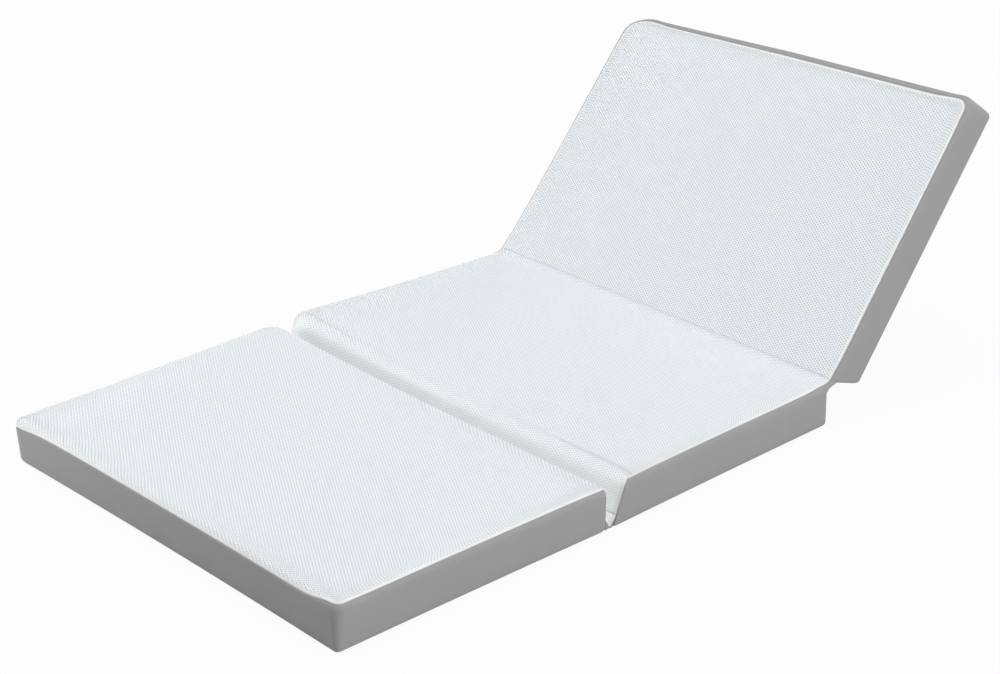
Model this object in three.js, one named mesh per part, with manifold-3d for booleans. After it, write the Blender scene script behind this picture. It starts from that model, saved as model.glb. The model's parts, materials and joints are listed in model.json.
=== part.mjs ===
// A travel mattress that folds in three: three foam panels in one soft cover.
// A white spacer-mesh top runs over all three panels, a grey border goes round them, and each
// panel's foam goes in through a zip in the far side of its border.
// Units are millimetres and +Z is up. +X runs from the front panel to the raised rear panel, and
// the near long side faces -Y. The origin is on the floor, under the middle panel's centre.

import * as THREE from "three";
import { mergeVertices } from "three/addons/utils/BufferGeometryUtils.js";
import Module from "manifold-3d";

const wasm = await Module();
wasm.setup();

// Mattress
const mattressWidth = 600;
const panelPitch = 400; // from one fold line to the next
const mattressThickness = 60; // at the crown of a panel
const crownHeight = 2; // the crown above the edges of the top
const hingeGap = 8; // between two panels' end walls, where they are hinged
const notchSlant = 20; // how far one wall of each notch leans back over its height
const endDraw = 3; // how far a free end is drawn in between its corners
const sideDraw = 2.5; // how far the near side is drawn in between its corners
const rearRaiseDegrees = 51;

// Rounding of a panel
const topRound = 9;
const bottomRound = 7;
const freeCornerRound = 14; // the upright corners at a free end
const hingeCornerRound = 4; // the upright corners at a hinge
const leastCornerRound = 1;
const lowerHingeRoundShare = 1.8; // of bottomRound, beside the lower hinge

// Cover
const meshThickness = 3; // white spacer mesh
const clothThickness = 1.2; // grey border and underside
const fitGap = 0.3; // between two pieces that touch
const topSeamDrop = 6; // from the top to the seam between mesh and border
const bottomSeamHeight = 5; // from the floor to the seam between border and underside
const seamAllowance = 2; // how far a notch facing turns the corner
const cutOverrun = 20; // cutting shapes run this far past what they cut

// Zip of each panel, in the far side of the border
const zipMargin = 36; // from the end walls of the shortest panel to the ends of its zip
const coilHalfHeight = 2.8;
const coilStandOut = 1.1; // from the tape's outer face to the top of the coil
const coilStandIn = 0.6; // from the tape's inner face to the back of the coil
const tapeThickness = 0.9;
const tapeSeamMargin = 5; // from the tape's long edge to the border's seam
const tapeOverlap = 6; // the tape runs on past each end of the zip's window
const stopLength = 3;
const stopSlotHalf = 1; // half the slot between the two end stops
const slideClearance = 0.35;

// Slider and pull
const sliderLength = 11;
const sliderPlateThickness = 1.3;
const sliderFlangeWidth = 1.5;
const sliderPostLength = 2.6;
const sliderPostHalfHeight = 1.2;
const bridgeHalfLength = 3.2; // inside half length of the arch that holds the pull
const bridgeLegLength = 1;
const bridgeClearHeight = 2.1;
const bridgeThickness = 1;
const bridgeHalfWidth = 0.9;
const pullLength = 27; // from its pivot to its tip
const pullHalfWidth = 3.4;
const pullThickness = 1.2;
const pullEyeLength = 5.8; // from the pivot to the far edge of the eye
const pullTipRound = 3;

// Faces of a round shape
const cornerSteps = 3;
const roundSteps = 3;
const sideSteps = 6;
const hingeArcSteps = 4;
const crownRingShares = [0.8, 0.5];

const halfWidth = mattressWidth / 2;
const rearRaise = THREE.MathUtils.degToRad(rearRaiseDegrees);
const topEdgeHeight = mattressThickness - crownHeight;
const topSeamHeight = mattressThickness - topSeamDrop;
const halfGap = fitGap / 2;
const quarterTurn = Math.PI / 2;

const finishes = {
  mesh: { color: 0xe3e8ee, roughness: 0.9, metalness: 0 },
  cloth: { color: 0x999999, roughness: 0.85, metalness: 0 },
  foam: { color: 0xf1ead8, roughness: 1, metalness: 0 },
  tape: { color: 0x808184, roughness: 0.9, metalness: 0 },
  coil: { color: 0x6c6e71, roughness: 0.5, metalness: 0 },
  metal: { color: 0x8a8c90, roughness: 0.35, metalness: 0.9 },
};

// Solids and meshes

function toSolid(geometry) {
  const bare = geometry.clone();
  bare.deleteAttribute("normal");
  bare.deleteAttribute("uv");
  const merged = mergeVertices(bare);
  return new wasm.Manifold(
    new wasm.Mesh({
      numProp: 3,
      vertProperties: merged.attributes.position.array,
      triVerts: new Uint32Array(merged.index.array),
    }),
  );
}

function toMesh(name, solid, finish) {
  const data = solid.getMesh();
  const indexed = new THREE.BufferGeometry();
  indexed.setAttribute("position", new THREE.BufferAttribute(data.vertProperties, 3));
  indexed.setIndex(new THREE.BufferAttribute(data.triVerts, 1));
  const geometry = indexed.toNonIndexed();
  geometry.computeVertexNormals();
  const mesh = new THREE.Mesh(geometry, new THREE.MeshStandardMaterial(finish));
  mesh.name = name;
  return mesh;
}

// A box given by its lowest and highest corners.
function block(low, high) {
  const size = high.map((value, axis) => value - low[axis]);
  const geometry = new THREE.BoxGeometry(...size);
  geometry.translate(...low.map((value, axis) => value + size[axis] / 2));
  return toSolid(geometry);
}

// An outline of [x, z] points, drawn out along Y between two places.
function extrudeAcross(outline, nearY, farY) {
  const shape = new THREE.Shape(outline.map(([x, z]) => new THREE.Vector2(x, z)));
  const geometry = new THREE.ExtrudeGeometry(shape, { depth: farY - nearY, bevelEnabled: false });
  geometry.rotateX(quarterTurn);
  geometry.translate(0, farY, 0);
  return toSolid(geometry);
}

// An outline of [x, y] points, drawn out along Z between two heights.
function extrudeUp(outline, lowZ, highZ) {
  const shape = new THREE.Shape(outline.map(([x, y]) => new THREE.Vector2(x, y)));
  const geometry = new THREE.ExtrudeGeometry(shape, { depth: highZ - lowZ, bevelEnabled: false });
  geometry.translate(0, 0, lowZ);
  return toSolid(geometry);
}

// A closed skin over rings of equally many points, with a middle point at each end.
function loft(rings, bottomCentre, topCentre) {
  const count = rings[0].length;
  const points = [...rings.flat(), bottomCentre, topCentre];
  const bottom = rings.length * count;
  const top = bottom + 1;
  const index = [];
  for (let i = 0; i < count; i += 1) {
    const next = (i + 1) % count;
    index.push(bottom, next, i);
    rings.slice(1).forEach((_, ring) => {
      const low = ring * count;
      const high = low + count;
      index.push(low + i, low + next, high + next, low + i, high + next, high + i);
    });
    index.push(top, top - 1 - count + i, top - 1 - count + next);
  }
  const geometry = new THREE.BufferGeometry().setFromPoints(points);
  geometry.setIndex(index);
  return toSolid(geometry);
}

// Panels. Each is drawn lying flat in its own frame: x runs from 0 at its left fold line or free
// end to panelPitch, y is 0 on the centre line, and z is 0 on the floor.

const panels = [
  { name: "front", left: "free", right: "lowerHinge" },
  { name: "middle", left: "lowerHinge", right: "upperHinge" },
  { name: "rear", left: "upperHinge", right: "free" },
];

const leftWall = (panel) => (panel.left === "free" ? 0 : hingeGap / 2);
const rightWall = (panel) => panelPitch - (panel.right === "free" ? 0 : hingeGap / 2);

// How far the left wall leans back at a height, so that the notch beside it opens away from the
// hinge. A free end and every right wall stand upright.
function lean(panel, z) {
  if (panel.left === "lowerHinge") return slantFrom(z);
  if (panel.left === "upperHinge") return slantFrom(topEdgeHeight - z);
  return 0;
}

// How far a slanted wall has leant back at a distance from its hinge.
const slantFrom = (distance) => (notchSlant * distance) / topEdgeHeight;

// One level of a panel's form: how high it is and how far in from the walls.
function formLevels(base, roof, bottomRadius, topRadius) {
  const shares = Array.from({ length: roundSteps + 1 }, (_, step) => step / roundSteps);
  const low = shares.map((share) => ({
    z: base + bottomRadius * (1 - Math.cos(share * quarterTurn)),
    inset: bottomRadius * (1 - Math.sin(share * quarterTurn)),
    low: true,
  }));
  const high = shares.map((share) => ({
    z: roof - crownHeight - topRadius * (1 - Math.sin(share * quarterTurn)),
    inset: topRadius * (1 - Math.cos(share * quarterTurn)),
    low: false,
  }));
  return [...low, ...high];
}

// How much of a level's inset one end takes: none at the upper hinge, where the top runs on to
// the next panel, and more at the foot of the lower one.
function roundShare(end, low) {
  if (end === "upperHinge" && !low) return 0;
  if (end === "lowerHinge" && low) return lowerHingeRoundShare;
  return 1;
}

// The drawn-in plan outline of a panel at one level, anticlockwise seen from above.
function planOutline(panel, level, cover) {
  const left =
    leftWall(panel) + lean(panel, level.z) + cover.left + level.inset * roundShare(panel.left, level.low);
  const right = rightWall(panel) - cover.right - level.inset * roundShare(panel.right, level.low);
  const far = halfWidth - cover.side - level.inset;
  const radius = (end) =>
    Math.max((end === "free" ? freeCornerRound : hingeCornerRound) - level.inset, leastCornerRound);
  const [leftRadius, rightRadius] = [radius(panel.left), radius(panel.right)];
  const corners = [
    [left + leftRadius, leftRadius - far, leftRadius],
    [right - rightRadius, rightRadius - far, rightRadius],
    [right - rightRadius, far - rightRadius, rightRadius],
    [left + leftRadius, far - leftRadius, leftRadius],
  ];
  const arcs = corners.map(([x, y, r], corner) =>
    Array.from({ length: cornerSteps + 1 }, (_, step) => {
      const angle = (corner + 2 + step / cornerSteps) * quarterTurn;
      return new THREE.Vector3(x + r * Math.cos(angle), y + r * Math.sin(angle), level.z);
    }),
  );
  const points = arcs.flatMap((arc, corner) => {
    const from = arc[cornerSteps];
    const to = arcs[(corner + 1) % arcs.length][0];
    const run = Array.from({ length: sideSteps - 1 }, (_, step) =>
      from.clone().lerp(to, (step + 1) / sideSteps),
    );
    return [...arc, ...run];
  });
  const middle = (left + right) / 2;
  points.forEach((point) => {
    const along = (point.x - middle) / (right - middle);
    const across = point.y / far;
    point.y += sideDraw * (1 - along * along) * Math.max(0, -across);
    if (panel.left === "free") point.x += endDraw * (1 - across * across) * Math.max(0, -along);
    if (panel.right === "free") point.x -= endDraw * (1 - across * across) * Math.max(0, along);
  });
  return points;
}

// A panel's closed, crowned form, with a cover's thickness taken off each face.
function panelForm(panel, cover) {
  const base = cover.bottom;
  const roof = mattressThickness - cover.top;
  const levels = formLevels(base, roof, bottomRound - cover.bottom, topRound - cover.top);
  const rings = levels.map((level) => planOutline(panel, level, cover));
  const edge = rings[rings.length - 1];
  const middle = (Math.min(...edge.map((p) => p.x)) + Math.max(...edge.map((p) => p.x))) / 2;
  crownRingShares.forEach((share) => {
    const z = roof - crownHeight * share * share;
    rings.push(edge.map((p) => new THREE.Vector3(middle + (p.x - middle) * share, p.y * share, z)));
  });
  return loft(rings, new THREE.Vector3(middle, 0, base), new THREE.Vector3(middle, 0, roof));
}

// The cover's pieces. A notch over a lower hinge is faced with the mesh, which runs down its
// walls, and a notch under an upper hinge with the grey cloth of the underside.

const wallCover = { lowerHinge: meshThickness, upperHinge: clothThickness, free: clothThickness };
const facingDepth = (end) => wallCover[end] + seamAllowance;

function coverThickness(panel, extra) {
  return {
    left: wallCover[panel.left] + extra,
    right: wallCover[panel.right] + extra,
    side: clothThickness + extra,
    top: meshThickness + extra,
    bottom: clothThickness + extra,
  };
}

// The cut line beside an end wall at a height: past a free end, or behind the facing.
function leftCut(panel, z, gap) {
  if (panel.left === "free") return -cutOverrun;
  return leftWall(panel) + lean(panel, z) + facingDepth(panel.left) + gap;
}

function rightCut(panel, gap) {
  if (panel.right === "free") return panelPitch + cutOverrun;
  return rightWall(panel) - facingDepth(panel.right) - gap;
}

// The mesh's share of the skin, as an outline of [x, z] points: all above the top seam, and down
// the walls of a lower hinge's notch.
function meshRegion(panel) {
  const seam = topSeamHeight + halfGap;
  const foot = bottomSeamHeight + halfGap;
  const [start, end, sky] = [-cutOverrun, panelPitch + cutOverrun, mattressThickness + cutOverrun];
  const leftEdge =
    panel.left === "lowerHinge"
      ? [[start, foot], [leftCut(panel, foot, -halfGap), foot], [leftCut(panel, seam, -halfGap), seam]]
      : [[start, seam]];
  const rightEdge =
    panel.right === "lowerHinge"
      ? [[rightCut(panel, -halfGap), seam], [rightCut(panel, -halfGap), foot], [end, foot]]
      : [[end, seam]];
  return [...leftEdge, ...rightEdge, [end, sky], [start, sky]];
}

// The underside's share: all below the bottom seam, and up the walls of an upper hinge's notch.
function undersideRegion(panel) {
  const seam = bottomSeamHeight - halfGap;
  const head = topSeamHeight - halfGap;
  const [start, end] = [-cutOverrun, panelPitch + cutOverrun];
  const rightEdge =
    panel.right === "upperHinge"
      ? [[end, head], [rightCut(panel, -halfGap), head], [rightCut(panel, -halfGap), seam]]
      : [[end, seam]];
  const leftEdge =
    panel.left === "upperHinge"
      ? [[leftCut(panel, seam, -halfGap), seam], [leftCut(panel, head, -halfGap), head], [start, head]]
      : [[start, seam]];
  return [[start, -cutOverrun], [end, -cutOverrun], ...rightEdge, ...leftEdge];
}

// The border's share, between the seams and between the facings.
function borderRegion(panel) {
  const low = bottomSeamHeight + halfGap;
  const high = topSeamHeight - halfGap;
  return [
    [leftCut(panel, low, halfGap), low],
    [rightCut(panel, halfGap), low],
    [rightCut(panel, halfGap), high],
    [leftCut(panel, high, halfGap), high],
  ];
}

const acrossMattress = (outline) =>
  extrudeAcross(outline, -halfWidth - cutOverrun, halfWidth + cutOverrun);

// A border with a free end is one strip round three sides, and between two hinges it is a strip
// along each long side.
function borderStrips(panel) {
  if (panel.left === "free" || panel.right === "free") {
    return [{ name: "border", region: acrossMattress(borderRegion(panel)) }];
  }
  return [
    { name: "near_border", region: extrudeAcross(borderRegion(panel), -halfWidth - cutOverrun, 0) },
    { name: "far_border", region: extrudeAcross(borderRegion(panel), 0, halfWidth + cutOverrun) },
  ];
}

// Zip. Its own frame has x along the zip from the closed end, y out of the far side with 0 on the
// border's outer face, and z up with 0 on the coil.

const zipLength = panelPitch - hingeGap - 2 * zipMargin;
const zipHeight = (bottomSeamHeight + topSeamHeight) / 2;
const tapeOuterY = -clothThickness - fitGap;
const tapeInnerY = tapeOuterY - tapeThickness;
const coilOuterY = tapeOuterY + coilStandOut;
const coilInnerY = tapeInnerY - coilStandIn;
const sliderInnerHalf = coilHalfHeight + slideClearance;
const sliderHalfHeight = sliderInnerHalf + sliderFlangeWidth;
const sliderOuterY = coilOuterY + slideClearance + sliderPlateThickness;
const sliderBackY = coilInnerY - slideClearance - sliderPlateThickness;
const windowHalfHeight = sliderHalfHeight + slideClearance;
const tapeHalfHeight = (topSeamHeight - bottomSeamHeight) / 2 - tapeSeamMargin;
const coilStart = sliderPostLength + slideClearance;
const windowStart = -stopLength - slideClearance;
const windowEnd = zipLength + slideClearance;
const zipStart = (panel) => leftWall(panel) + zipMargin;

// The window in the border that shows the coil and lets the slider run.
function zipWindow(panel) {
  const x = zipStart(panel);
  return block(
    [x + windowStart, halfWidth - clothThickness - halfGap, zipHeight - windowHalfHeight],
    [x + windowEnd, halfWidth + cutOverrun, zipHeight + windowHalfHeight],
  );
}

// The foam gives way behind the zip: a shallow recess for the tapes and a deeper one for the
// slider.
function foamRecess(panel) {
  const x = zipStart(panel);
  const ends = [x + windowStart - tapeOverlap - fitGap, x + windowEnd + tapeOverlap + fitGap];
  const recess = (innerY, halfHeight) =>
    block(
      [ends[0], halfWidth + innerY, zipHeight - halfHeight],
      [ends[1], halfWidth + cutOverrun, zipHeight + halfHeight],
    );
  const forTapes = recess(tapeInnerY - fitGap, tapeHalfHeight + fitGap);
  const forSlider = recess(sliderBackY - fitGap, sliderHalfHeight + slideClearance);
  return forTapes.add(forSlider);
}

function zipTape(side) {
  const edges = [side * (coilHalfHeight + fitGap), side * tapeHalfHeight].sort((a, b) => a - b);
  return block(
    [windowStart - tapeOverlap, tapeInnerY, edges[0]],
    [windowEnd + tapeOverlap, tapeOuterY, edges[1]],
  );
}

// The two coils, meshed into one bar.
function zipCoil() {
  return block(
    [coilStart, coilInnerY, -coilHalfHeight],
    [zipLength - stopLength - fitGap, coilOuterY, coilHalfHeight],
  );
}

function zipEndStop(side) {
  const edges = [side * stopSlotHalf, side * coilHalfHeight].sort((a, b) => a - b);
  return block([windowStart + fitGap, coilInnerY, edges[0]], [-fitGap, coilOuterY, edges[1]]);
}

function zipBoxStop() {
  return block(
    [zipLength - stopLength, coilInnerY, -coilHalfHeight],
    [zipLength, coilOuterY, coilHalfHeight],
  );
}

// Two plates with turned-in flanges that run along the tapes' edges, joined by a post at the nose,
// with an arch on the outer plate for the pull.
function zipSlider() {
  const plate = (lowY, highY) =>
    block([0, lowY, -sliderHalfHeight], [sliderLength, highY, sliderHalfHeight]);
  const flanges = (lowY, highY) =>
    [-1, 1].map((side) => {
      const edges = [side * sliderInnerHalf, side * sliderHalfHeight].sort((a, b) => a - b);
      return block([0, lowY, edges[0]], [sliderLength, highY, edges[1]]);
    });
  const outerPlateBack = sliderOuterY - sliderPlateThickness;
  const innerPlateFront = sliderBackY + sliderPlateThickness;
  const post = block(
    [0, sliderBackY, -sliderPostHalfHeight],
    [sliderPostLength, sliderOuterY, sliderPostHalfHeight],
  );
  return [
    plate(outerPlateBack, sliderOuterY),
    plate(sliderBackY, innerPlateFront),
    ...flanges(tapeOuterY + slideClearance, sliderOuterY),
    ...flanges(sliderBackY, tapeInnerY - slideClearance),
    post,
    pullBridge(),
  ].reduce((whole, piece) => whole.add(piece));
}

const pivotX = sliderLength / 2;
const pivotY = sliderOuterY + bridgeClearHeight / 2;

// The arch over the pull's bar.
function pullBridge() {
  const outer = bridgeHalfLength + bridgeLegLength;
  const crest = sliderOuterY + bridgeClearHeight + bridgeThickness;
  const outline = [
    [pivotX - outer, sliderOuterY - sliderPlateThickness / 2],
    [pivotX + outer, sliderOuterY - sliderPlateThickness / 2],
    [pivotX + outer, crest - bridgeThickness],
    [pivotX + bridgeHalfLength, crest],
    [pivotX - bridgeHalfLength, crest],
    [pivotX - outer, crest - bridgeThickness],
  ];
  const gap = block(
    [pivotX - bridgeHalfLength, sliderOuterY, -cutOverrun],
    [pivotX + bridgeHalfLength, crest - bridgeThickness, cutOverrun],
  );
  return extrudeUp(outline, -bridgeHalfWidth, bridgeHalfWidth).subtract(gap);
}

// The pull points back past the closed end. Its frame has the pivot at the origin and the tab
// along -X, and the arch passes through its eye.
function zipPull() {
  const tip = -pullLength;
  const half = pullThickness / 2;
  const tab = block([tip, -half, -pullHalfWidth], [half, half, pullHalfWidth]);
  const eyeHalf = bridgeHalfWidth + slideClearance;
  const eye = block([-pullEyeLength, -pullThickness, -eyeHalf], [-half, pullThickness, eyeHalf]);
  const corner = (side) => {
    const outline = [
      [tip - cutOverrun, side * (pullHalfWidth - pullTipRound)],
      [tip, side * (pullHalfWidth - pullTipRound)],
      [tip + pullTipRound, side * pullHalfWidth],
      [tip + pullTipRound, side * (pullHalfWidth + cutOverrun)],
      [tip - cutOverrun, side * (pullHalfWidth + cutOverrun)],
    ];
    return extrudeAcross(side > 0 ? outline : outline.reverse(), -pullThickness, pullThickness);
  };
  return tab.subtract(eye).subtract(corner(1)).subtract(corner(-1));
}

function zipGroup(panel) {
  const name = (piece) => `${panel.name}_zip_${piece}`;
  const group = new THREE.Group();
  group.position.set(zipStart(panel), halfWidth, zipHeight);
  group.add(
    toMesh(name("upper_tape"), zipTape(1), finishes.tape),
    toMesh(name("lower_tape"), zipTape(-1), finishes.tape),
    toMesh(name("coil"), zipCoil(), finishes.coil),
    toMesh(name("upper_end_stop"), zipEndStop(1), finishes.metal),
    toMesh(name("lower_end_stop"), zipEndStop(-1), finishes.metal),
    toMesh(name("box_stop"), zipBoxStop(), finishes.metal),
    toMesh(name("slider"), zipSlider(), finishes.metal),
  );
  const pull = toMesh(name("pull"), zipPull(), finishes.metal);
  pull.position.set(pivotX, pivotY, 0);
  group.add(pull);
  return group;
}

// One panel: its foam, the pieces of its cover and its zip.
function panelGroup(panel) {
  const group = new THREE.Group();
  const outside = panelForm(panel, { left: 0, right: 0, side: 0, top: 0, bottom: 0 });
  const skin = outside.subtract(panelForm(panel, coverThickness(panel, 0)));
  const foam = panelForm(panel, coverThickness(panel, fitGap)).subtract(foamRecess(panel));
  const top = skin.intersect(acrossMattress(meshRegion(panel)));
  const underside = skin.intersect(acrossMattress(undersideRegion(panel)));
  group.add(
    toMesh(`${panel.name}_foam_core`, foam, finishes.foam),
    toMesh(`${panel.name}_mesh_top`, top, finishes.mesh),
    toMesh(`${panel.name}_underside`, underside, finishes.cloth),
  );
  borderStrips(panel).forEach((strip) => {
    const border = skin.intersect(strip.region).subtract(zipWindow(panel));
    group.add(toMesh(`${panel.name}_${strip.name}`, border, finishes.cloth));
  });
  group.add(zipGroup(panel));
  return group;
}

// Hinges. Each is a strip of mesh and a strip of cloth, sewn together across the mattress, and is
// drawn as it lies at rest.

const hingeHalf = hingeGap / 2 - fitGap;
const lowerHingeEnd = halfWidth - hingeCornerRound;
const upperHingeEnd = halfWidth - topRound - fitGap;

// The lower hinge closes the notch between the front and middle panels at its foot.
function lowerHingeStrip(low, high) {
  const outline = [
    [-hingeHalf, low],
    [hingeHalf + slantFrom(low), low],
    [hingeHalf + slantFrom(high), high],
    [-hingeHalf, high],
  ];
  return extrudeAcross(outline, -lowerHingeEnd, lowerHingeEnd);
}

// The upper hinge bends up with the rear panel, about the top of the mesh. Its outline runs out
// along the lower face and back along the upper one.
function upperHingeStrip(upper, lower) {
  const turned = (x, z) => [
    x * Math.cos(rearRaise) - z * Math.sin(rearRaise),
    x * Math.sin(rearRaise) + z * Math.cos(rearRaise),
  ];
  const bend = (depth) =>
    Array.from({ length: hingeArcSteps + 1 }, (_, step) => {
      const angle = (rearRaise * step) / hingeArcSteps;
      return [depth * Math.sin(angle), -depth * Math.cos(angle)];
    });
  const face = (depth) => [
    [-hingeHalf, -depth],
    ...(depth > 0 ? bend(depth) : [[0, 0]]),
    turned(hingeHalf + slantFrom(depth), -depth),
  ];
  return extrudeAcross([...face(lower), ...face(upper).reverse()], -upperHingeEnd, upperHingeEnd);
}

function lowerHinge() {
  const group = new THREE.Group();
  group.position.set(-panelPitch / 2, 0, 0);
  const meshFoot = bottomSeamHeight + halfGap;
  const clothHead = bottomSeamHeight - halfGap;
  const mesh = lowerHingeStrip(meshFoot, meshFoot + meshThickness);
  const cloth = lowerHingeStrip(clothHead - clothThickness, clothHead);
  group.add(toMesh("lower_hinge_mesh", mesh, finishes.mesh));
  group.add(toMesh("lower_hinge_cloth", cloth, finishes.cloth));
  return group;
}

function upperHinge() {
  const group = new THREE.Group();
  group.position.set(panelPitch / 2, 0, topEdgeHeight);
  const clothDepth = meshThickness + fitGap;
  const mesh = upperHingeStrip(0, meshThickness);
  const cloth = upperHingeStrip(clothDepth, clothDepth + clothThickness);
  group.add(toMesh("upper_hinge_mesh", mesh, finishes.mesh));
  group.add(toMesh("upper_hinge_cloth", cloth, finishes.cloth));
  return group;
}

// The mattress as it stands: the front and middle panels flat, the rear panel raised about the
// upper hinge.
const mattress = new THREE.Group();
const [front, middle, rear] = panels.map(panelGroup);
front.position.x = -panelPitch * 1.5;
middle.position.x = -panelPitch / 2;
const raised = new THREE.Group();
raised.position.set(panelPitch / 2, 0, topEdgeHeight);
raised.rotation.y = -rearRaise;
rear.position.z = -topEdgeHeight;
raised.add(rear);
mattress.add(front, middle, raised, lowerHinge(), upperHinge());

export default mattress;
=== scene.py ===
"""The looks of a travel mattress that folds in three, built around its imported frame.

Each panel is drawn as one closed form, swelled a little by a short cloth simulation, and cut at its
seams into the pieces of the cover: a white air-mesh top, grey borders and a grey underside.

Lengths are in metres. A panel is drawn in its own frame and then placed: x runs from its left fold
line or free end, y is 0 on the centre line, and z is 0 on the floor.
"""

import json
import math

import bmesh
import bpy
import numpy as np
from mathutils import Matrix, Vector


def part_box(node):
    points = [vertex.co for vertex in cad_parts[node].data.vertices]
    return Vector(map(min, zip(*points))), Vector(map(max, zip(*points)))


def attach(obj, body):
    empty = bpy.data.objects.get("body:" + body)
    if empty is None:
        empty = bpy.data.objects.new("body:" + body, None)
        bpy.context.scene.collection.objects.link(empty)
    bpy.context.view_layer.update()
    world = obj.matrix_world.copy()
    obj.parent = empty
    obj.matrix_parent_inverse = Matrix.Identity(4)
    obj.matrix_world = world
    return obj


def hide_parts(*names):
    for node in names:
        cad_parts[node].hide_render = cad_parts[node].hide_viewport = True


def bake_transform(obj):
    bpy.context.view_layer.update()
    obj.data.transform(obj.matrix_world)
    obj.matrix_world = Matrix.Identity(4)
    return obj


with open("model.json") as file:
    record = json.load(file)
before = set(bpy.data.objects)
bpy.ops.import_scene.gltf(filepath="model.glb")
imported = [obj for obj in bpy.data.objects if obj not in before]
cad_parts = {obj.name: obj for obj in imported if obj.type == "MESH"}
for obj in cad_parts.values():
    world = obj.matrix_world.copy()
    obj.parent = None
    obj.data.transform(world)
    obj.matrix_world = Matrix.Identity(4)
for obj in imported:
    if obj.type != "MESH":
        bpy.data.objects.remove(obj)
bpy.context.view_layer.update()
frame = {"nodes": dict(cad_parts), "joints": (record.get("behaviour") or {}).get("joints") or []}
JOINTS = {joint["name"]: joint for joint in frame["joints"]}

# Sizes from the frame
UPPER_FOLD = Vector(JOINTS["rear_fold"]["pos_m"])
LOWER_FOLD = Vector(JOINTS["front_fold"]["pos_m"])
PITCH = UPPER_FOLD.x - LOWER_FOLD.x
EDGE_HEIGHT = UPPER_FOLD.z
RAISE = math.atan2(JOINTS["rear_zip_slide"]["axis"][2], JOINTS["rear_zip_slide"]["axis"][0])
HALF_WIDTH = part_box("middle_far_border")[1].y
CROWN_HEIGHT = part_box("middle_mesh_top")[1].z - EDGE_HEIGHT
HINGE_HALF = LOWER_FOLD.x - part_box("front_mesh_top")[1].x
ZIP_LOW, ZIP_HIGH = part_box("front_zip_coil")
ZIP_HEIGHT = (ZIP_LOW.z + ZIP_HIGH.z) / 2
ZIP_STOP_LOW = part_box("front_zip_upper_end_stop")[0]
BOX_STOP_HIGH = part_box("front_zip_box_stop")[1]
ZIP_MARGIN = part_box("front_zip_slider")[0].x + 1.5 * PITCH

# Walls at the folds, as distances from the fold line and lean over the panel's height
NOTCH_SLANTS = {"lower": 0.0215, "upper": 0.0215}
LATER_WALL_STARTS = {"lower": 0.0045, "upper": 0.001}
EARLIER_WALL_FEET = {"lower": -0.0025, "upper": -0.004}
EARLIER_WALL_LEANS = {"lower": 0.0, "upper": -0.003}
NOTCH_WIDENING = 0.0015  # of the lower notch at its near end, and as much less at its far end
FOLD_SHIFT = 0.0025  # of the lower notch, towards the front panel's free end

# Rounds and rows of a panel
SIDE_ROUND = 0.009  # along the top of the long sides
BOTTOM_ROUND = 0.007
HINGE_FOOT_ROUND = 0.0126  # of the foot beside the lower hinge
BOTTOM_SEAM_HEIGHT = 0.005
CAP_INSET = 0.020  # from the walls to the flat part of the top and of the underside
CREASE_INSET = 0.0035  # the same beside the upper hinge
CAP_CORNER = 0.012
LEAST_CORNER = 0.004
WALL_ROWS = [0.010, 0.017]  # heights of the rows below the zip
ZIP_WINDOW_HALF = 0.005
WINDOW_EASE = 0.0003
UPPER_ROW = 0.041  # the row where the round of the top may start

# How far the sides and ends are drawn out of true
SIDE_DRAWS = {"front": 0.0008, "middle": 0.0008, "rear": 0.0}  # of the near side, between its corners
END_DRAW = 0.003
NEAR_PUSH = 0.005  # of the near side beside the lower fold, outwards
FAR_PUFFS = {"front": 0.008, "middle": 0.012}  # rise of the far edge beside the lower fold
LEAN_START = 0.037  # the far side keeps its place below this, for the zip
LEAN_FULL = 0.054
REAR_FAR_DRAW = 0.012
REAR_TWIST = 0.010  # how far the rear panel's near free corner is turned up
REAR_NEAR_LENGTHENING = 0.005
REAR_FAR_SHORTENING = 0.011
PAST_ZIP = 0.364  # from the rear panel's fold line to where its far side is free of the zip

# Grids
SPACING = 0.008
HALF_CORNER = 3  # steps in half an upright corner
BOTTOM_STEPS = 4
BORDER_STEPS = 4
TOP_STEPS = 5
TINY = 1e-12

# Cover
MESH_THICKNESS = 0.003
CLOTH_THICKNESS = 0.0012
SEAM_LIP = 0.0003  # how far a sewn edge draws back from the seam
SEAM_DEPTH_MESH = 0.0024
SEAM_DEPTH_CLOTH = 0.0011
SEAM_CORD_RADIUS = 0.0006
SEAM_CORD_DEPTH = 0.0010
WELD = 0.0004
EDGE_FAR = 0.05

# Folds
CREASE_STEPS = 4
CREASE_HELD = 0.012
WEB_STEPS = 10
WEB_LOW = 0.0066
WEB_TIP_SHARE = 0.55  # where across the notch the web is lowest
WEB_LATER_POWER = 1.5
WEB_THICKNESS = 0.0012
BAR_EASE = 0.0002
BAR_DROP = 0.0012  # of the bar's top below the web
BAR_INSET = 0.0010
BAR_LOW = 0.0034
BAR_ARCH = 0.0012
BAR_STEPS = 12
BAR_CORNER_STEPS = 5
BAR_SHARP_ANGLE = math.radians(40)
LINING_ROWS = 2  # rows of the walls beside the crease that the lining covers
LINING_DEPTH = 0.0108
LINING_EASE = 0.00005
LINING_APEX_DEPTH = 0.0056
LINING_APEX_BACK = 0.0045
LINING_STEPS = 10
LINING_WALL_POWER = 6  # how soon the lining leaves the walls for its apex
LINING_TURNS = np.radians([45, 67.5, 90])  # where it goes round an upright corner
TAB_STEPS = 4

# Foam
FOAM_INSET = 0.0042
FOAM_ZIP_INSET = 0.0056

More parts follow.
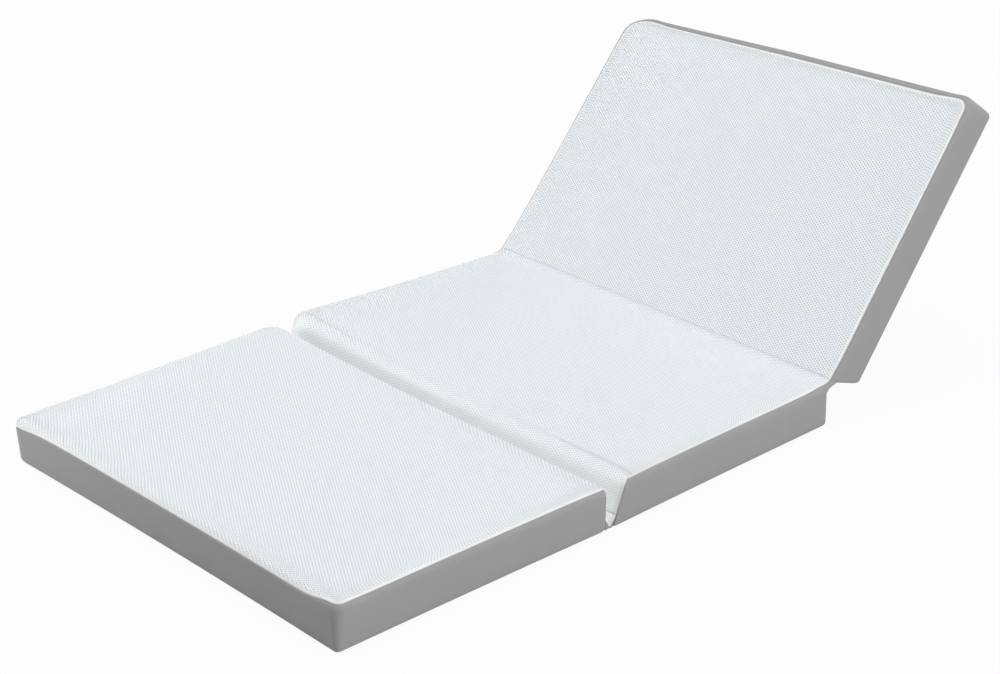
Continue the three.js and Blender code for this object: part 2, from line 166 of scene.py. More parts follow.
# Zips, in their own frame: along from the closed end, out of the side and up
TAPE_INNER = 0.0031
TAPE_OUTER = 0.0195
TAPE_LOW = -0.0024
TAPE_HIGH = -0.0015
TAPE_START = -0.00935
TAPE_FINISH = 0.32635
TAPE_CELLS = 40
TAPE_HEIGHTS = 7
TAPE_BEVEL_SHARE = 0.6
COIL_LOW = -0.0030
COIL_HIGH = -0.0004
COIL_START = 0.0030
COIL_FINISH = 0.3166
COIL_TIP = 0.0010
COIL_ROOT = 0.0027
COIL_PARTED = 0.0019  # tips of the teeth that the slider's post parts at the end of its travel
POST_OFFSET = 0.0013  # from the slider's place to its post
POST_PLACE = JOINTS["front_zip_slide"]["range_m"][1] + POST_OFFSET
POST_REACH = 0.0024
TOOTH_STEP = 0.0015
TOOTH_RADIUS = 0.00042
TOOTH_LEAN = 0.0006
TOOTH_POINTS = 7
TOOTH_POWER = 0.6
STITCH_INSET = 0.0018
STITCH_STEP = 0.0032
STITCH_START_SHARE = 0.15  # of a step
STITCH_LENGTH_SHARE = 0.7
STITCH_POINTS = 5
STITCH_RADIUS = 0.0003
STITCH_SUNK_SHARE = 0.4
STITCH_RISE = 0.0003
METAL_BEVEL = 0.00018
METAL_WELD = 1e-6
METAL_FLAT_ANGLE = math.radians(1)
METAL_SHARP_ANGLE = math.radians(35)
TUBE_TIP_SHARE = 0.4
THREAD_SIDES = 8
FINE_SIDES = 6  # of the coil's teeth and the stitches

# Swelling
SWELL_SETTINGS = {
    "quality": 4,
    "mass": 0.3,
    "tension_stiffness": 30,
    "compression_stiffness": 30,
    "shear_stiffness": 15,
    "bending_stiffness": 4,
    "use_pressure": True,
    "uniform_pressure_force": 4.0,
    "vertex_group_mass": "held",
}
SWELL_FRAMES = 20
SWELL_LIMIT = 0.0022

# Colours, as linear values
MESH_THREAD = (0.828, 0.850, 0.872)
MESH_TINT = (0.80, 0.85, 0.91)
# Painted shade: the holes are real, but their dark blue-grey stands for the shade inside them
MESH_HOLE_SHADE = (0.50, 0.55, 0.61)
PLAIN_EDGE = (0.80, 0.80, 0.785)
NOTCH_WALL_PAINTED_LIGHT = (0.93, 0.945, 0.94)  # painted light: a paler thread colour for the mesh down the lower notch, which lies in shade
NOTCH_WALL_HOLE_LIGHTENING = 0.68  # how far the holes' painted shade is closed over there, as painted light
# how far the paler painted light is mixed into the thread colour there
NOTCH_WALL_LIGHT_MIX = 0.8
BORDER_GREY = (0.302, 0.302, 0.303)
FOAM_COLOUR = (0.86, 0.80, 0.66)
# Painted shade: the darker colour inside the foam's pores stands for the shade in them
FOAM_PORE_SHADE = (0.62, 0.55, 0.42)
TAPE_GREY = (0.215, 0.218, 0.225)
COIL_GREY = (0.150, 0.153, 0.160)
COIL_DARK_SHARE = 0.8
METAL_GREY = (0.50, 0.505, 0.52)
METAL_WORN = (0.42, 0.42, 0.435)
THREAD_GREY = (0.36, 0.36, 0.365)
FLOOR_GREY = (0.60, 0.60, 0.60)
WHITE = (1.0, 1.0, 1.0)

# Mesh lattice, measured on the photograph: holes 4 mm apart along the mattress, every other row
# shifted by half a step
HOLE_STEP = 0.0040
HOLE_ROWS = 0.00645
HOLE_RADIUS = 0.00095
HOLE_SOFT_SHARES = (0.72, 1.38)  # of that radius, where the hole's shade starts and ends
HOLE_RAGGED = 0.0006
PLAIN_STRIP = (0.0048, 0.0036)  # from the seam, where the mesh's plain strip starts and is full

# Relief of the materials, and the steps of their threads
MESH_RELIEF = 0.0008
BORDER_STEP = 0.00042
BORDER_RELIEF = 0.00012
TAPE_STEP = 0.0006
TAPE_RELIEF = 0.0002
THREAD_STEP = 0.0003
THREAD_RELIEF = 0.0001
FOAM_RELIEF = 0.0004
COIL_RELIEF = 0.00005
METAL_RELIEF = 0.00004

# Camera, fitted to the photograph
CAMERA_PLACE = (-1.8887, -1.8682, 1.2676)
CAMERA_AZIMUTH = math.radians(-44.019)
CAMERA_ELEVATION = math.radians(24.075)
CAMERA_ROLL = math.radians(0.835)
CAMERA_FOCAL_PIXELS = 2298
CAMERA_CLIP = (0.05, 100)
IMAGE_WIDTH = 1000
SENSOR_WIDTH = 36.0

# Light
WORLD_STRENGTH = 0.25
WORLD_COLOUR = (0.97, 0.985, 1.0)
LAMP_COLOUR = (1.0, 1.0, 0.99)
FLOOR_REACH = 3.4
FLOOR_GLOW_SHARE = 0.95
LAMPS = {  # place, what it points at, width and height, and power
    "overhead": ((-0.1, 0.0, 3.2), (0.0, 0.0, 0.0), (3.0, 3.0), 67),
    "near_side": ((0.2, -3.2, 1.0), (0.0, 0.0, 0.1), (3.0, 1.6), 64),
    "far_side": ((-0.2, 3.2, 1.2), (0.0, 0.0, 0.1), (3.0, 1.6), 32),
    "right_side": ((3.0, 0.3, 1.0), (0.3, 0.0, 0.1), (2.0, 1.4), 18),
    "far_left": ((-1.3, 0.95, 0.16), (-0.6, 0.15, 0.03), (0.5, 0.3), 6.6),
    "rear_fill": ((-0.7, 0.0, 1.6), (0.35, 0.0, 0.25), (0.8, 0.8), 3.0),
}


# Camera

def add_object(name, data):
    obj = bpy.data.objects.new(name, data)
    bpy.context.scene.collection.objects.link(obj)
    return obj


def make_camera():
    data = bpy.data.cameras.new("camera")
    data.sensor_width = SENSOR_WIDTH
    data.lens = CAMERA_FOCAL_PIXELS * SENSOR_WIDTH / IMAGE_WIDTH
    data.clip_start, data.clip_end = CAMERA_CLIP
    camera = add_object("camera", data)
    a, e = CAMERA_AZIMUTH, CAMERA_ELEVATION
    back = Vector((math.sin(a) * math.cos(e), -math.cos(a) * math.cos(e), math.sin(e)))
    right = Vector((math.cos(a), math.sin(a), 0))
    up = back.cross(right)
    rolled_right = right * math.cos(CAMERA_ROLL) + up * math.sin(CAMERA_ROLL)
    rolled_up = up * math.cos(CAMERA_ROLL) - right * math.sin(CAMERA_ROLL)
    turn = Matrix((rolled_right, rolled_up, back)).transposed()
    camera.matrix_world = Matrix.Translation(CAMERA_PLACE) @ turn.to_4x4()
    bpy.context.scene.camera = camera


make_camera()
bpy.context.scene.view_settings.view_transform = "Standard"


# Materials

class Nodes:
    """The node tree of a material or a world, with short names for what is used often."""

    def __init__(self, owner):
        owner.use_nodes = True
        self.owner = owner
        self.tree = owner.node_tree
        self.shader = self.tree.nodes.get("Principled BSDF")

    def add(self, kind, inputs=None, **settings):
        """A node with its settings, and a link or a value for each input that is given."""
        node = self.tree.nodes.new(kind)
        for key, value in settings.items():
            setattr(node, key, value)
        for key, source in (inputs or {}).items():
            self.put(source, node.inputs[key])
        return node

    def put(self, source, socket):
        if hasattr(source, "links"):
            self.tree.links.new(source, socket)
            return
        if socket.type == "RGBA":
            source = (*source, 1.0)
        socket.default_value = source

    def math(self, operation, *values):
        return self.add("ShaderNodeMath", dict(enumerate(values)), operation=operation).outputs[0]

    def smooth(self, value, low, high, to_low=0.0, to_high=1.0):
        inputs = dict(enumerate((value, low, high, to_low, to_high)))
        return self.add("ShaderNodeMapRange", inputs, interpolation_type="SMOOTHSTEP").outputs[0]

    def mix(self, factor, first, second):
        return self.add("ShaderNodeMix", {0: factor, 6: first, 7: second}, data_type="RGBA").outputs[2]

    def scaled(self, colour, factor):
        return self.add("ShaderNodeVectorMath", {0: colour, "Scale": factor}, operation="SCALE").outputs[0]

    def noise(self, vector, scale, detail=2.0, roughness=0.5):
        inputs = {"Vector": vector, "Scale": scale, "Detail": detail, "Roughness": roughness}
        return self.add("ShaderNodeTexNoise", inputs).outputs[0]

    def uv(self, name):
        """A layer of the mesh, and its two coordinates."""
        layer = self.add("ShaderNodeUVMap", uv_map=name).outputs[0]
        split = self.add("ShaderNodeSeparateXYZ", {0: layer})
        return layer, split.outputs[0], split.outputs[1]

    def place(self):
        return self.add("ShaderNodeTexCoord").outputs["Object"]

    def bump(self, height, distance, strength):
        inputs = {"Strength": strength, "Distance": distance, "Height": height}
        self.put(self.add("ShaderNodeBump", inputs).outputs[0], self.shader.inputs["Normal"])

    def surface(self, **values):
        for key, value in values.items():
            self.put(value, self.shader.inputs[key.replace("_", " ").title().replace("Ior", "IOR")])

    def seen_by(self, *rays):
        """1 for rays of the given kinds, else 0."""
        path = self.add("ShaderNodeLightPath").outputs
        seen = path[rays[0]]
        for ray in rays[1:]:
            seen = self.math("MAXIMUM", seen, path[ray])
        return seen

    def show(self, factor, plain, shown, output):
        """Mixes two shaders on their way to the output."""
        mix = self.add("ShaderNodeMixShader", {0: factor, 1: plain.outputs[0], 2: shown.outputs[0]})
        self.put(mix.outputs[0], self.tree.nodes[output].inputs["Surface"])


def new_nodes(name):
    return Nodes(bpy.data.materials.new(name))


def hole_distance(nodes, u, v, shift):
    """How far a place on the mesh is from the nearest hole of one of its two lattices."""
    squares = []
    for coordinate, step in ((u, HOLE_STEP), (v, HOLE_ROWS)):
        cell = nodes.math("ADD", nodes.math("DIVIDE", coordinate, step), shift)
        offset = nodes.math("SUBTRACT", nodes.math("FRACT", cell), 0.5)
        part = nodes.math("MULTIPLY", offset, step)
        squares.append(nodes.math("MULTIPLY", part, part))
    return nodes.math("SQRT", nodes.math("ADD", *squares))


def air_mesh_material():
    """White spacer mesh: round holes in a staggered lattice, between knitted ribs, with painted shade in the
    holes and painted light on the mesh down the lower notch.
    """
    nodes = new_nodes("air_mesh_cloth")
    weave, u, v = nodes.uv("weave")
    edge, edge_distance, wall = nodes.uv("edge")
    distance = nodes.math("MINIMUM", *(hole_distance(nodes, u, v, shift) for shift in (0.0, 0.5)))
    ragged = nodes.math("SUBTRACT", nodes.noise(weave, scale=1400), 0.5)
    distance = nodes.math("ADD", distance, nodes.math("MULTIPLY", ragged, HOLE_RAGGED))
    thread = nodes.smooth(distance, *(HOLE_RADIUS * share for share in HOLE_SOFT_SHARES))
    plain = nodes.smooth(edge_distance, *PLAIN_STRIP)
    thread = nodes.math("MAXIMUM", thread, plain)
    # Painted light on the lower notch wall: its holes are closed over by the wall share
    thread = nodes.math("MAXIMUM", thread, nodes.math("MULTIPLY", wall, NOTCH_WALL_HOLE_LIGHTENING))
    fine = nodes.noise(weave, scale=2600, detail=3, roughness=0.7)
    ribs = nodes.add("ShaderNodeTexWave", {"Vector": weave, "Scale": 320, "Distortion": 1.6, "Detail": 1.0},
                     wave_type="BANDS", bands_direction="X").outputs[1]
    colour = nodes.scaled(MESH_THREAD, nodes.smooth(fine, 0.25, 0.75, to_low=0.94))
    broad = nodes.noise(weave, scale=9)
    colour = nodes.mix(nodes.smooth(broad, 0.3, 0.7, to_high=0.25), colour, MESH_TINT)
    # Painted light: the mesh down the lower notch, where shade falls, is painted paler
    colour = nodes.mix(nodes.math("MULTIPLY", wall, NOTCH_WALL_LIGHT_MIX), colour, NOTCH_WALL_PAINTED_LIGHT)
    colour = nodes.mix(plain, colour, PLAIN_EDGE)
    # Painted shade in the holes: the hole mask mixes in their dark blue-grey
    nodes.surface(base_color=nodes.mix(thread, MESH_HOLE_SHADE, colour), roughness=0.86, sheen_weight=0.25,
                  sheen_roughness=0.5, specular_ior_level=0.2)
    knit = nodes.math("ADD", nodes.math("MULTIPLY", fine, 0.14), nodes.math("MULTIPLY", ribs, 0.16))
    nodes.bump(nodes.math("ADD", nodes.math("MULTIPLY", thread, 0.8), knit), MESH_RELIEF, 0.8)
    return nodes.owner


def woven_material(name, colour, step, relief, uneven=0.05, roughness=0.88):
    """A plain weave, its threads over and under each other by turns."""
    nodes = new_nodes(name)
    weave, u, v = nodes.uv("weave")
    waves = [nodes.math("SINE", nodes.math("MULTIPLY", c, math.pi / step)) for c in (u, v)]
    height = nodes.math("MULTIPLY_ADD", nodes.math("MULTIPLY", *waves), 0.5, 0.5)
    slub = nodes.math("MULTIPLY", nodes.noise(weave, scale=900, detail=3, roughness=0.65), 0.5)
    broad = nodes.noise(weave, scale=14)
    mean = nodes.math("ADD", nodes.math("MULTIPLY", height, 0.5), slub)
    shade = nodes.smooth(mean, 0.2, 0.8, 1 - uneven, 1 + uneven)
    shade = nodes.math("MULTIPLY", shade, nodes.smooth(broad, 0.3, 0.7, 0.985, 1.015))
    nodes.surface(base_color=nodes.scaled(colour, shade), roughness=roughness, sheen_weight=0.08,
                  specular_ior_level=0.2)
    nodes.bump(nodes.math("ADD", height, slub), relief, 0.5)
    return nodes.owner


def foam_material():
    nodes = new_nodes("foam_cells")
    inputs = {"Vector": nodes.place(), "Scale": 900}
    cells = nodes.add("ShaderNodeTexVoronoi", inputs, feature="F1").outputs[0]
    # Painted shade: the pore centres, which the bump sinks, are coloured darker
    nodes.surface(base_color=nodes.mix(nodes.smooth(cells, 0.1, 0.7), FOAM_PORE_SHADE, FOAM_COLOUR), roughness=0.95)
    nodes.bump(cells, FOAM_RELIEF, 0.5)
    return nodes.owner


def coil_material():
    nodes = new_nodes("coil_plastic")
    fine = nodes.noise(nodes.place(), scale=1500)
    dark = tuple(value * COIL_DARK_SHARE for value in COIL_GREY)
    nodes.surface(base_color=nodes.mix(fine, dark, COIL_GREY), roughness=0.42)
    nodes.bump(fine, COIL_RELIEF, 0.4)
    return nodes.owner


def metal_material():
    nodes = new_nodes("slider_metal")
    fine = nodes.noise(nodes.place(), scale=700, detail=4, roughness=0.6)
    colour = nodes.mix(nodes.smooth(fine, 0.35, 0.7), METAL_GREY, METAL_WORN)
    nodes.surface(base_color=colour, metallic=0.9, roughness=nodes.smooth(fine, 0.3, 0.7, 0.28, 0.42))
    nodes.bump(fine, METAL_RELIEF, 0.3)
    return nodes.owner


MATERIALS = {
    "air_mesh": air_mesh_material(),
    "border_cloth": woven_material("border_weave", BORDER_GREY, BORDER_STEP, BORDER_RELIEF),
    "foam": foam_material(),
    "zip_tape": woven_material("tape_weave", TAPE_GREY, TAPE_STEP, TAPE_RELIEF, 0.12),
    "zip_coil": coil_material(),
    "zip_metal": metal_material(),
}
THREAD_MATERIAL = woven_material("sewing_thread", THREAD_GREY, THREAD_STEP, THREAD_RELIEF, 0.15, 0.6)


# Panels

class Panel:
    """One panel's name, its two ends and how it is placed."""

    def __init__(self, name, left, right, origin, pivot, turn):
        self.name = name
        self.ends = {"left": left, "right": right}
        self.origin = np.array(origin)
        self.pivot = np.array(pivot)
        self.turn = turn
        self.body = f"{name}_panel"

    def wall(self, end, z):
        """x of an end wall at a height, in the panel's frame."""
        kind = self.ends[end]
        if kind == "free":
            return 0 * z if end == "left" else PITCH + 0 * z
        if end == "right":
            return PITCH + EARLIER_WALL_FEET[kind] + EARLIER_WALL_LEANS[kind] * z / EDGE_HEIGHT
        from_hinge = z if kind == "lower" else EDGE_HEIGHT - z
        return LATER_WALL_STARTS[kind] + NOTCH_SLANTS[kind] * from_hinge / EDGE_HEIGHT

    def zip_start(self):
        """x of the zip's closed end."""
        return ZIP_MARGIN + (0.0 if self.ends["left"] == "free" else HINGE_HALF)

    def place(self, points):
        """Points of the panel's frame in the row frame."""
        x, y, z = np.moveaxis(np.asarray(points, float) - self.pivot, -1, 0)
        c, s = math.cos(self.turn), math.sin(self.turn)
        return np.stack([x * c - z * s, y, x * s + z * c], axis=-1) + self.origin


PANELS = {
    "front": Panel("front", "free", "lower", (-1.5 * PITCH, 0, 0), (0, 0, 0), 0),
    "middle": Panel("middle", "lower", "upper", (-PITCH / 2, 0, 0), (0, 0, 0), 0),
    "rear": Panel("rear", "upper", "free", (PITCH / 2, 0, EDGE_HEIGHT), (0, 0, EDGE_HEIGHT), RAISE),
}

# How the top's edge is rounded beside each end: how far in and how far down
END_ROUND = {
    ("front", "left"): (0.009, 0.009),
    ("front", "right"): (0.006, 0.009),
    ("middle", "left"): (0.015, 0.012),
    ("middle", "right"): (0.0, 0.009),
    ("rear", "left"): (0.0, 0.009),
    ("rear", "right"): (0.014, 0.014),
}

# Where the seam lies on the round, as the surface's tilt there in degrees; at corners near and far
SIDE_TILTS = {"front": 36, "middle": 36, "rear": 32}
CORNER_TILTS = {
    ("front", "left"): (32, 88),
    ("front", "right"): (40, 40),
    ("middle", "left"): (40, 60),
    ("middle", "right"): (22, 22),
    ("rear", "left"): (24, 24),
    ("rear", "right"): (26, 26),
}
END_TILTS = {("front", "left"): 76, ("rear", "right"): 12}
TILT_REACH = 0.045  # how far a corner lifts the seam along the sides
LOW_CORNER_DROP = 0.0125  # of the round at the front panel's far free corner
LOW_CORNER_REACH = 0.090
END_ROUND_REACH = 0.02

# Radii of the upright corners, seen from above: at the foot and at the top
FOOT_CORNER = 0.007
FOOT_CORNERS = {("front", "left", "far"): 0.018, ("rear", "right", "far"): 0.024}
HINGE_CORNER = 0.004
TOP_CORNERS = {
    ("front", "left", "near"): 0.014,
    ("front", "left", "far"): 0.010,
    ("front", "right", "far"): 0.028,
    ("middle", "left", "far"): 0.018,
    ("rear", "right", "near"): 0.020,
    ("rear", "right", "far"): 0.046,
}


def ramp(value, low, high):
    """0 up to low, 1 from high on, and an even rise between."""
    return np.clip((value - low) / (high - low), 0, 1)


def fade(distance, reach):
    """1 at no distance, and almost 0 past the reach."""
    return np.exp(-3 * (distance / reach) ** 2)


def fold_shift(y):
    """The lower notch's shift, which fades out from the centre line to the side with the zips."""
    return FOLD_SHIFT * np.clip(1 - y / HALF_WIDTH, 0, 1)


def notch_widening(y):
    """How far the later wall of the lower notch stands off its even place, more at the near end."""
    return -NOTCH_WIDENING * y / HALF_WIDTH


def near_push(across, share):
    """How far the near side stands out, where across is -1 at that side and share is 1 at the fold."""
    return NEAR_PUSH * share * np.maximum(0, -across)


def lean_far_side(panel, p):
    """Puffs the far edge beside the lower fold and draws in the rear panel's, above the zip alone."""
    z = p[:, 2].copy()
    across = np.clip(p[:, 1] / HALF_WIDTH, -1, 1)
    above_zip = ramp(z, LEAN_START, LEAN_FULL)
    if panel.name in FAR_PUFFS:
        share = ramp(p[:, 0], panel.wall("left", z), panel.wall("right", z))
        beside_fold = share if panel.ends["right"] == "lower" else 1 - share
        p[:, 2] += FAR_PUFFS[panel.name] * beside_fold ** 1.5 * ((1 + across) / 2) ** 4 * above_zip
    else:
        out = ramp(p[:, 0], CAP_INSET, PITCH)
        p[:, 1] -= REAR_FAR_DRAW * np.sqrt(out) * np.maximum(0, across) * above_zip


def window_places(panel):
    """x of the two ends of the zip's window, in the panel's frame."""
    front = PANELS["front"]
    shift = panel.zip_start() - front.zip_start()
    low = ZIP_STOP_LOW.x - front.origin[0] - WINDOW_EASE + shift
    high = BOX_STOP_HIGH.x - front.origin[0] + WINDOW_EASE + shift
    return low, high


def column_shares(panel):
    """Where the columns stand along a long side, as shares from corner to corner, with one at each
    end of the zip's window."""
    corner = [FOOT_CORNER if kind == "free" else HINGE_CORNER for kind in panel.ends.values()]
    low = panel.wall("left", ZIP_HEIGHT) + corner[0]
    high = panel.wall("right", ZIP_HEIGHT) - corner[1]
    knots = [low, *window_places(panel), high]
    places = []
    for start, end in zip(knots, knots[1:]):
        steps = max(1, round((end - start) / SPACING))
        places += [start + (end - start) * step / steps for step in range(steps)]
    return (np.array([*places, high]) - low) / (high - low)


ROW_SHARES = np.linspace(0, 1, round(2 * HALF_WIDTH / SPACING) + 1)
SIDES = ["near", "right", "far", "left"]


class Form:
    """A panel's closed form as a grid: rows of stations up from the underside's flat part to the
    top's, and a patch over each of the two."""

    def __init__(self, panel):
        self.panel = panel
        self.make_stations()
        self.make_rows()
        self.make_patches()
        self.shape_draws()

    def make_stations(self):
        """Stations run from the middle of the near left corner, anticlockwise seen from above."""
        shares = [column_shares(self.panel), ROW_SHARES] * 2
        self.counts = [len(share) - 1 for share in shares]
        self.starts = []
        stations = []
        turns = [math.radians(45) * step / HALF_CORNER for step in range(HALF_CORNER)]
        for side, along in enumerate(shares):
            self.starts.append(len(stations))
            base = math.radians(90 * (side - 1))
            stations += [(side, 0.0, base - math.radians(45) + turn) for turn in turns]
            stations += [(side, share, base) for share in along]
            stations += [(side, 1.0, base + turn) for turn in turns[1:]]
        side, t, angle = (np.array(values) for values in zip(*stations))
        self.count = len(side)
        self.tx = np.choose(side, [t, 1 + 0 * t, 1 - t, 0 * t])
        self.ty = np.choose(side, [0 * t, t, 1 + 0 * t, 1 - t])
        self.nx, self.ny = np.cos(angle), np.sin(angle)
        across = 2 * HALF_WIDTH * self.ty
        self.to_corner = np.minimum(across, 2 * HALF_WIDTH - across)

    def side_stations(self, side):
        """Indices of a side's stations, from one corner's middle to the next."""
        number = SIDES.index(side)
        total = self.counts[number] + 2 * HALF_CORNER
        return [(self.starts[number] + step) % self.count for step in range(total + 1)]

    def seam_tilts(self):
        """The tilt of the surface at the top seam, for each station."""
        name = self.panel.name
        tilt = np.full(self.count, float(SIDE_TILTS[name]))
        width = PITCH * self.tx
        for end, to_end, at_end in (("left", width, self.tx == 0), ("right", PITCH - width, self.tx == 1)):
            corner = np.where(self.ty < 0.5, *CORNER_TILTS[name, end])
            own = END_TILTS.get((name, end), corner)
            along_side = tilt + (corner - tilt) * fade(to_end, TILT_REACH)
            along_end = own + (corner - own) * fade(self.to_corner, TILT_REACH)
            tilt = np.where(at_end, along_end, along_side)
        return np.radians(tilt)

    def drops(self):
        """How far down the top's round reaches at each station: the sides' own depth, and near an
        end the end's."""
        name = self.panel.name
        drop = np.full(self.count, SIDE_ROUND)
        rise = 1 - fade(self.to_corner, END_ROUND_REACH)
        for end, at_end in (("left", self.tx == 0), ("right", self.tx == 1)):
            drop = np.where(at_end, SIDE_ROUND + (END_ROUND[name, end][1] - SIDE_ROUND) * rise, drop)
        if name == "front":
            from_corner = np.hypot(PITCH * self.tx, 2 * HALF_WIDTH * (1 - self.ty))
            drop = drop + (LOW_CORNER_DROP - drop) * fade(from_corner, LOW_CORNER_REACH)
        return drop

    def make_rows(self):
        """Each row's tilt and points at every station."""
        one = np.ones(self.count)
        drop, tilt = self.drops(), self.seam_tilts()
        rows = []
        arc = BOTTOM_ROUND * math.acos(1 - BOTTOM_SEAM_HEIGHT / BOTTOM_ROUND)
        flat = CAP_INSET - BOTTOM_ROUND
        for step in range(BOTTOM_STEPS + 1):
            travel = (arc + flat) * step / BOTTOM_STEPS
            angle = max(0.0, (travel - flat) / BOTTOM_ROUND)
            extra = max(0.0, flat - travel) / flat
            rows.append(("foot", BOTTOM_ROUND * (1 - math.cos(angle)) * one, angle * one, extra * one))
        self.bottom_seam_row = len(rows) - 1
        for height in [*WALL_ROWS, ZIP_HEIGHT - ZIP_WINDOW_HALF, ZIP_HEIGHT + ZIP_WINDOW_HALF, UPPER_ROW]:
            rows.append(("wall", height * one, one * math.pi / 2, 0 * one))
        self.flap_row = self.bottom_seam_row + len(WALL_ROWS)
        self.window_rows = (self.flap_row + 1, self.flap_row + 2)
        straight = EDGE_HEIGHT - drop - UPPER_ROW
        for step in range(1, BORDER_STEPS):
            travel = (straight + drop * (math.pi / 2 - tilt)) * step / (BORDER_STEPS - 1)
            angle = math.pi / 2 - np.maximum(0, travel - straight) / drop
            z = np.where(travel < straight, UPPER_ROW + travel, EDGE_HEIGHT - drop * (1 - np.cos(angle)))
            rows.append(("top", z, angle, 0 * one))
        self.seam_row = len(rows) - 1
        flat = CAP_INSET - drop
        for step in range(1, TOP_STEPS + 1):
            travel = (drop * tilt + flat) * step / TOP_STEPS
            angle = np.maximum(0, tilt - travel / drop)
            extra = np.maximum(0, travel - drop * tilt) / flat
            rows.append(("top", EDGE_HEIGHT - drop * (1 - np.cos(angle)), angle, extra))
        self.rows = len(rows)
        self.tilts = np.array([row[2] for row in rows])
        self.ring = np.array([self.row_points(*row) for row in rows])

    def row_points(self, part, z, angle, extra):
        """A row's points, drawn in by the part's round and by extra shares of the way to its cap."""
        panel = self.panel

        def inset(full_round, cap=CAP_INSET):
            return full_round * (1 - np.sin(angle)) + extra * (cap - full_round)

        side = inset({"foot": BOTTOM_ROUND, "wall": 0, "top": SIDE_ROUND}[part])
        ends, corner = {}, {}
        for end, kind in panel.ends.items():
            if part == "foot":
                ends[end] = inset(HINGE_FOOT_ROUND if kind == "lower" else BOTTOM_ROUND)
            elif part == "wall":
                ends[end] = side
            else:
                cap = CREASE_INSET if kind == "upper" else CAP_INSET
                ends[end] = inset(END_ROUND[panel.name, end][0], cap)
            for reach in ("near", "far"):
                own = self.corner_radius(end, reach, z)
                least = np.maximum(own - side, np.minimum(LEAST_CORNER, own))
                cap = np.maximum(CAP_CORNER, least - CAP_INSET / 2)
                corner[end, reach] = least + (cap - least) * extra
                if kind == "upper" and part == "top":
                    corner[end, reach] = HINGE_CORNER - ends[end]
        near, at_left = self.ty < 0.5, self.tx < 0.5
        left_radius, right_radius = (np.where(near, corner[end, "near"], corner[end, "far"]) for end in ends)
        near_radius, far_radius = (np.where(at_left, corner["left", reach], corner["right", reach])
                                   for reach in ("near", "far"))
        radius = np.where(at_left, left_radius, right_radius)
        low = panel.wall("left", z) + ends["left"] + left_radius
        high = panel.wall("right", z) - ends["right"] - right_radius
        x = low + (high - low) * self.tx + radius * self.nx
        inner = HALF_WIDTH - side
        near_y, far_y = near_radius - inner, inner - far_radius
        y = near_y + (far_y - near_y) * self.ty + radius * self.ny
        return np.stack([x, y, z], axis=-1)

    def corner_radius(self, end, reach, z):
        key = (self.panel.name, end, reach)
        foot = FOOT_CORNERS.get(key, FOOT_CORNER if self.panel.ends[end] == "free" else HINGE_CORNER)
        share = ramp(z, 0, EDGE_HEIGHT)
        return foot + (TOP_CORNERS.get(key, foot) - foot) * share ** 2 * (3 - 2 * share)

    def make_patches(self):
        """The two flat patches, each filled in from the four sides of its row of stations."""
        self.index = np.arange(self.rows * self.count).reshape(self.rows, self.count)
        self.points = self.ring.reshape(-1, 3)
        self.patches = {}
        for name, row in (("under", 0), ("over", self.rows - 1)):
            near, right, far, left = (self.index[row][self.side_stations(side)] for side in SIDES)
            far, left = far[::-1], left[::-1]
            u = np.linspace(0, 1, len(near))[:, None, None]
            v = np.linspace(0, 1, len(right))[None, :, None]
            a, b, c, d = (self.points[run] for run in (near, right, far, left))
            sides = (1 - v) * a[:, None] + v * c[:, None] + (1 - u) * d[None] + u * b[None]
            corners = (1 - u) * (1 - v) * a[0] + u * (1 - v) * a[-1] + (1 - u) * v * c[0] + u * v * c[-1]
            inside = (sides - corners)[1:-1, 1:-1]
            patch = np.zeros((len(near), len(right)), int)
            patch[:, 0], patch[-1, :], patch[:, -1], patch[0, :] = near, right, far, left
            patch[1:-1, 1:-1] = len(self.points) + np.arange(inside[..., 0].size).reshape(inside.shape[:2])
            self.points = np.concatenate([self.points, inside.reshape(-1, 3)])
            self.patches[name] = patch

    def shape_draws(self):
        """The drawn-in sides and ends, the crown, the puffed far edge beside the lower fold, the rear
        panel's slight twist, and square ends of the zip's window."""
        panel, p = self.panel, self.points
        left, right = (panel.wall(end, p[:, 2]) for end in panel.ends)
        along = np.clip((p[:, 0] - (left + right) / 2) / ((right - left) / 2), -1, 1)
        across = np.clip(p[:, 1] / HALF_WIDTH, -1, 1)
        crown = CROWN_HEIGHT * (1 - along ** 2) * (1 - across ** 2)
        weight = np.zeros(len(p))
        weight[self.index[self.seam_row + 1:]] = np.cos(self.tilts[self.seam_row + 1:])
        weight[self.patches["over"]] = 1
        p[:, 1] += SIDE_DRAWS[panel.name] * (1 - along ** 2) * np.maximum(0, -across)
        if panel.name in FAR_PUFFS:
            share = (1 + along) / 2
            beside_fold = share if panel.ends["right"] == "lower" else 1 - share
            p[:, 1] -= near_push(across, beside_fold)
            p[:, 0] -= fold_shift(p[:, 1]) * beside_fold ** 2
        if panel.ends["left"] == "free":
            p[:, 0] += END_DRAW * (1 - across ** 2) * np.maximum(0, -along)
        p[:, 2] += crown * weight
        lean_far_side(panel, p)
        if panel.ends["left"] == "lower":
            p[:, 0] += notch_widening(p[:, 1]) * np.maximum(0, -along)
        if panel.name == "rear":
            out = ramp(p[:, 0], CAP_INSET, PITCH)
            past_zip = ramp(p[:, 0], PAST_ZIP, PITCH)
            past_zip = past_zip ** 2 * (3 - 2 * past_zip)
            p[:, 0] += REAR_NEAR_LENGTHENING * out * np.maximum(0, -across)
            p[:, 0] -= REAR_FAR_SHORTENING * past_zip * np.maximum(0, across)
            p[:, 2] += REAR_TWIST * out * ((1 - across) / 2) ** 1.5
        for station, x in zip(self.window_stations(), window_places(panel)[::-1]):
            p[self.index[list(self.window_rows), station], 0] = x

    def window_stations(self):
        """The far side's stations at the right and the left end of the zip's window."""
        row = self.ring[self.window_rows[0]]
        far = self.side_stations("far")
        return [min(far, key=lambda k: abs(row[k][0] - x)) for x in window_places(self.panel)[::-1]]

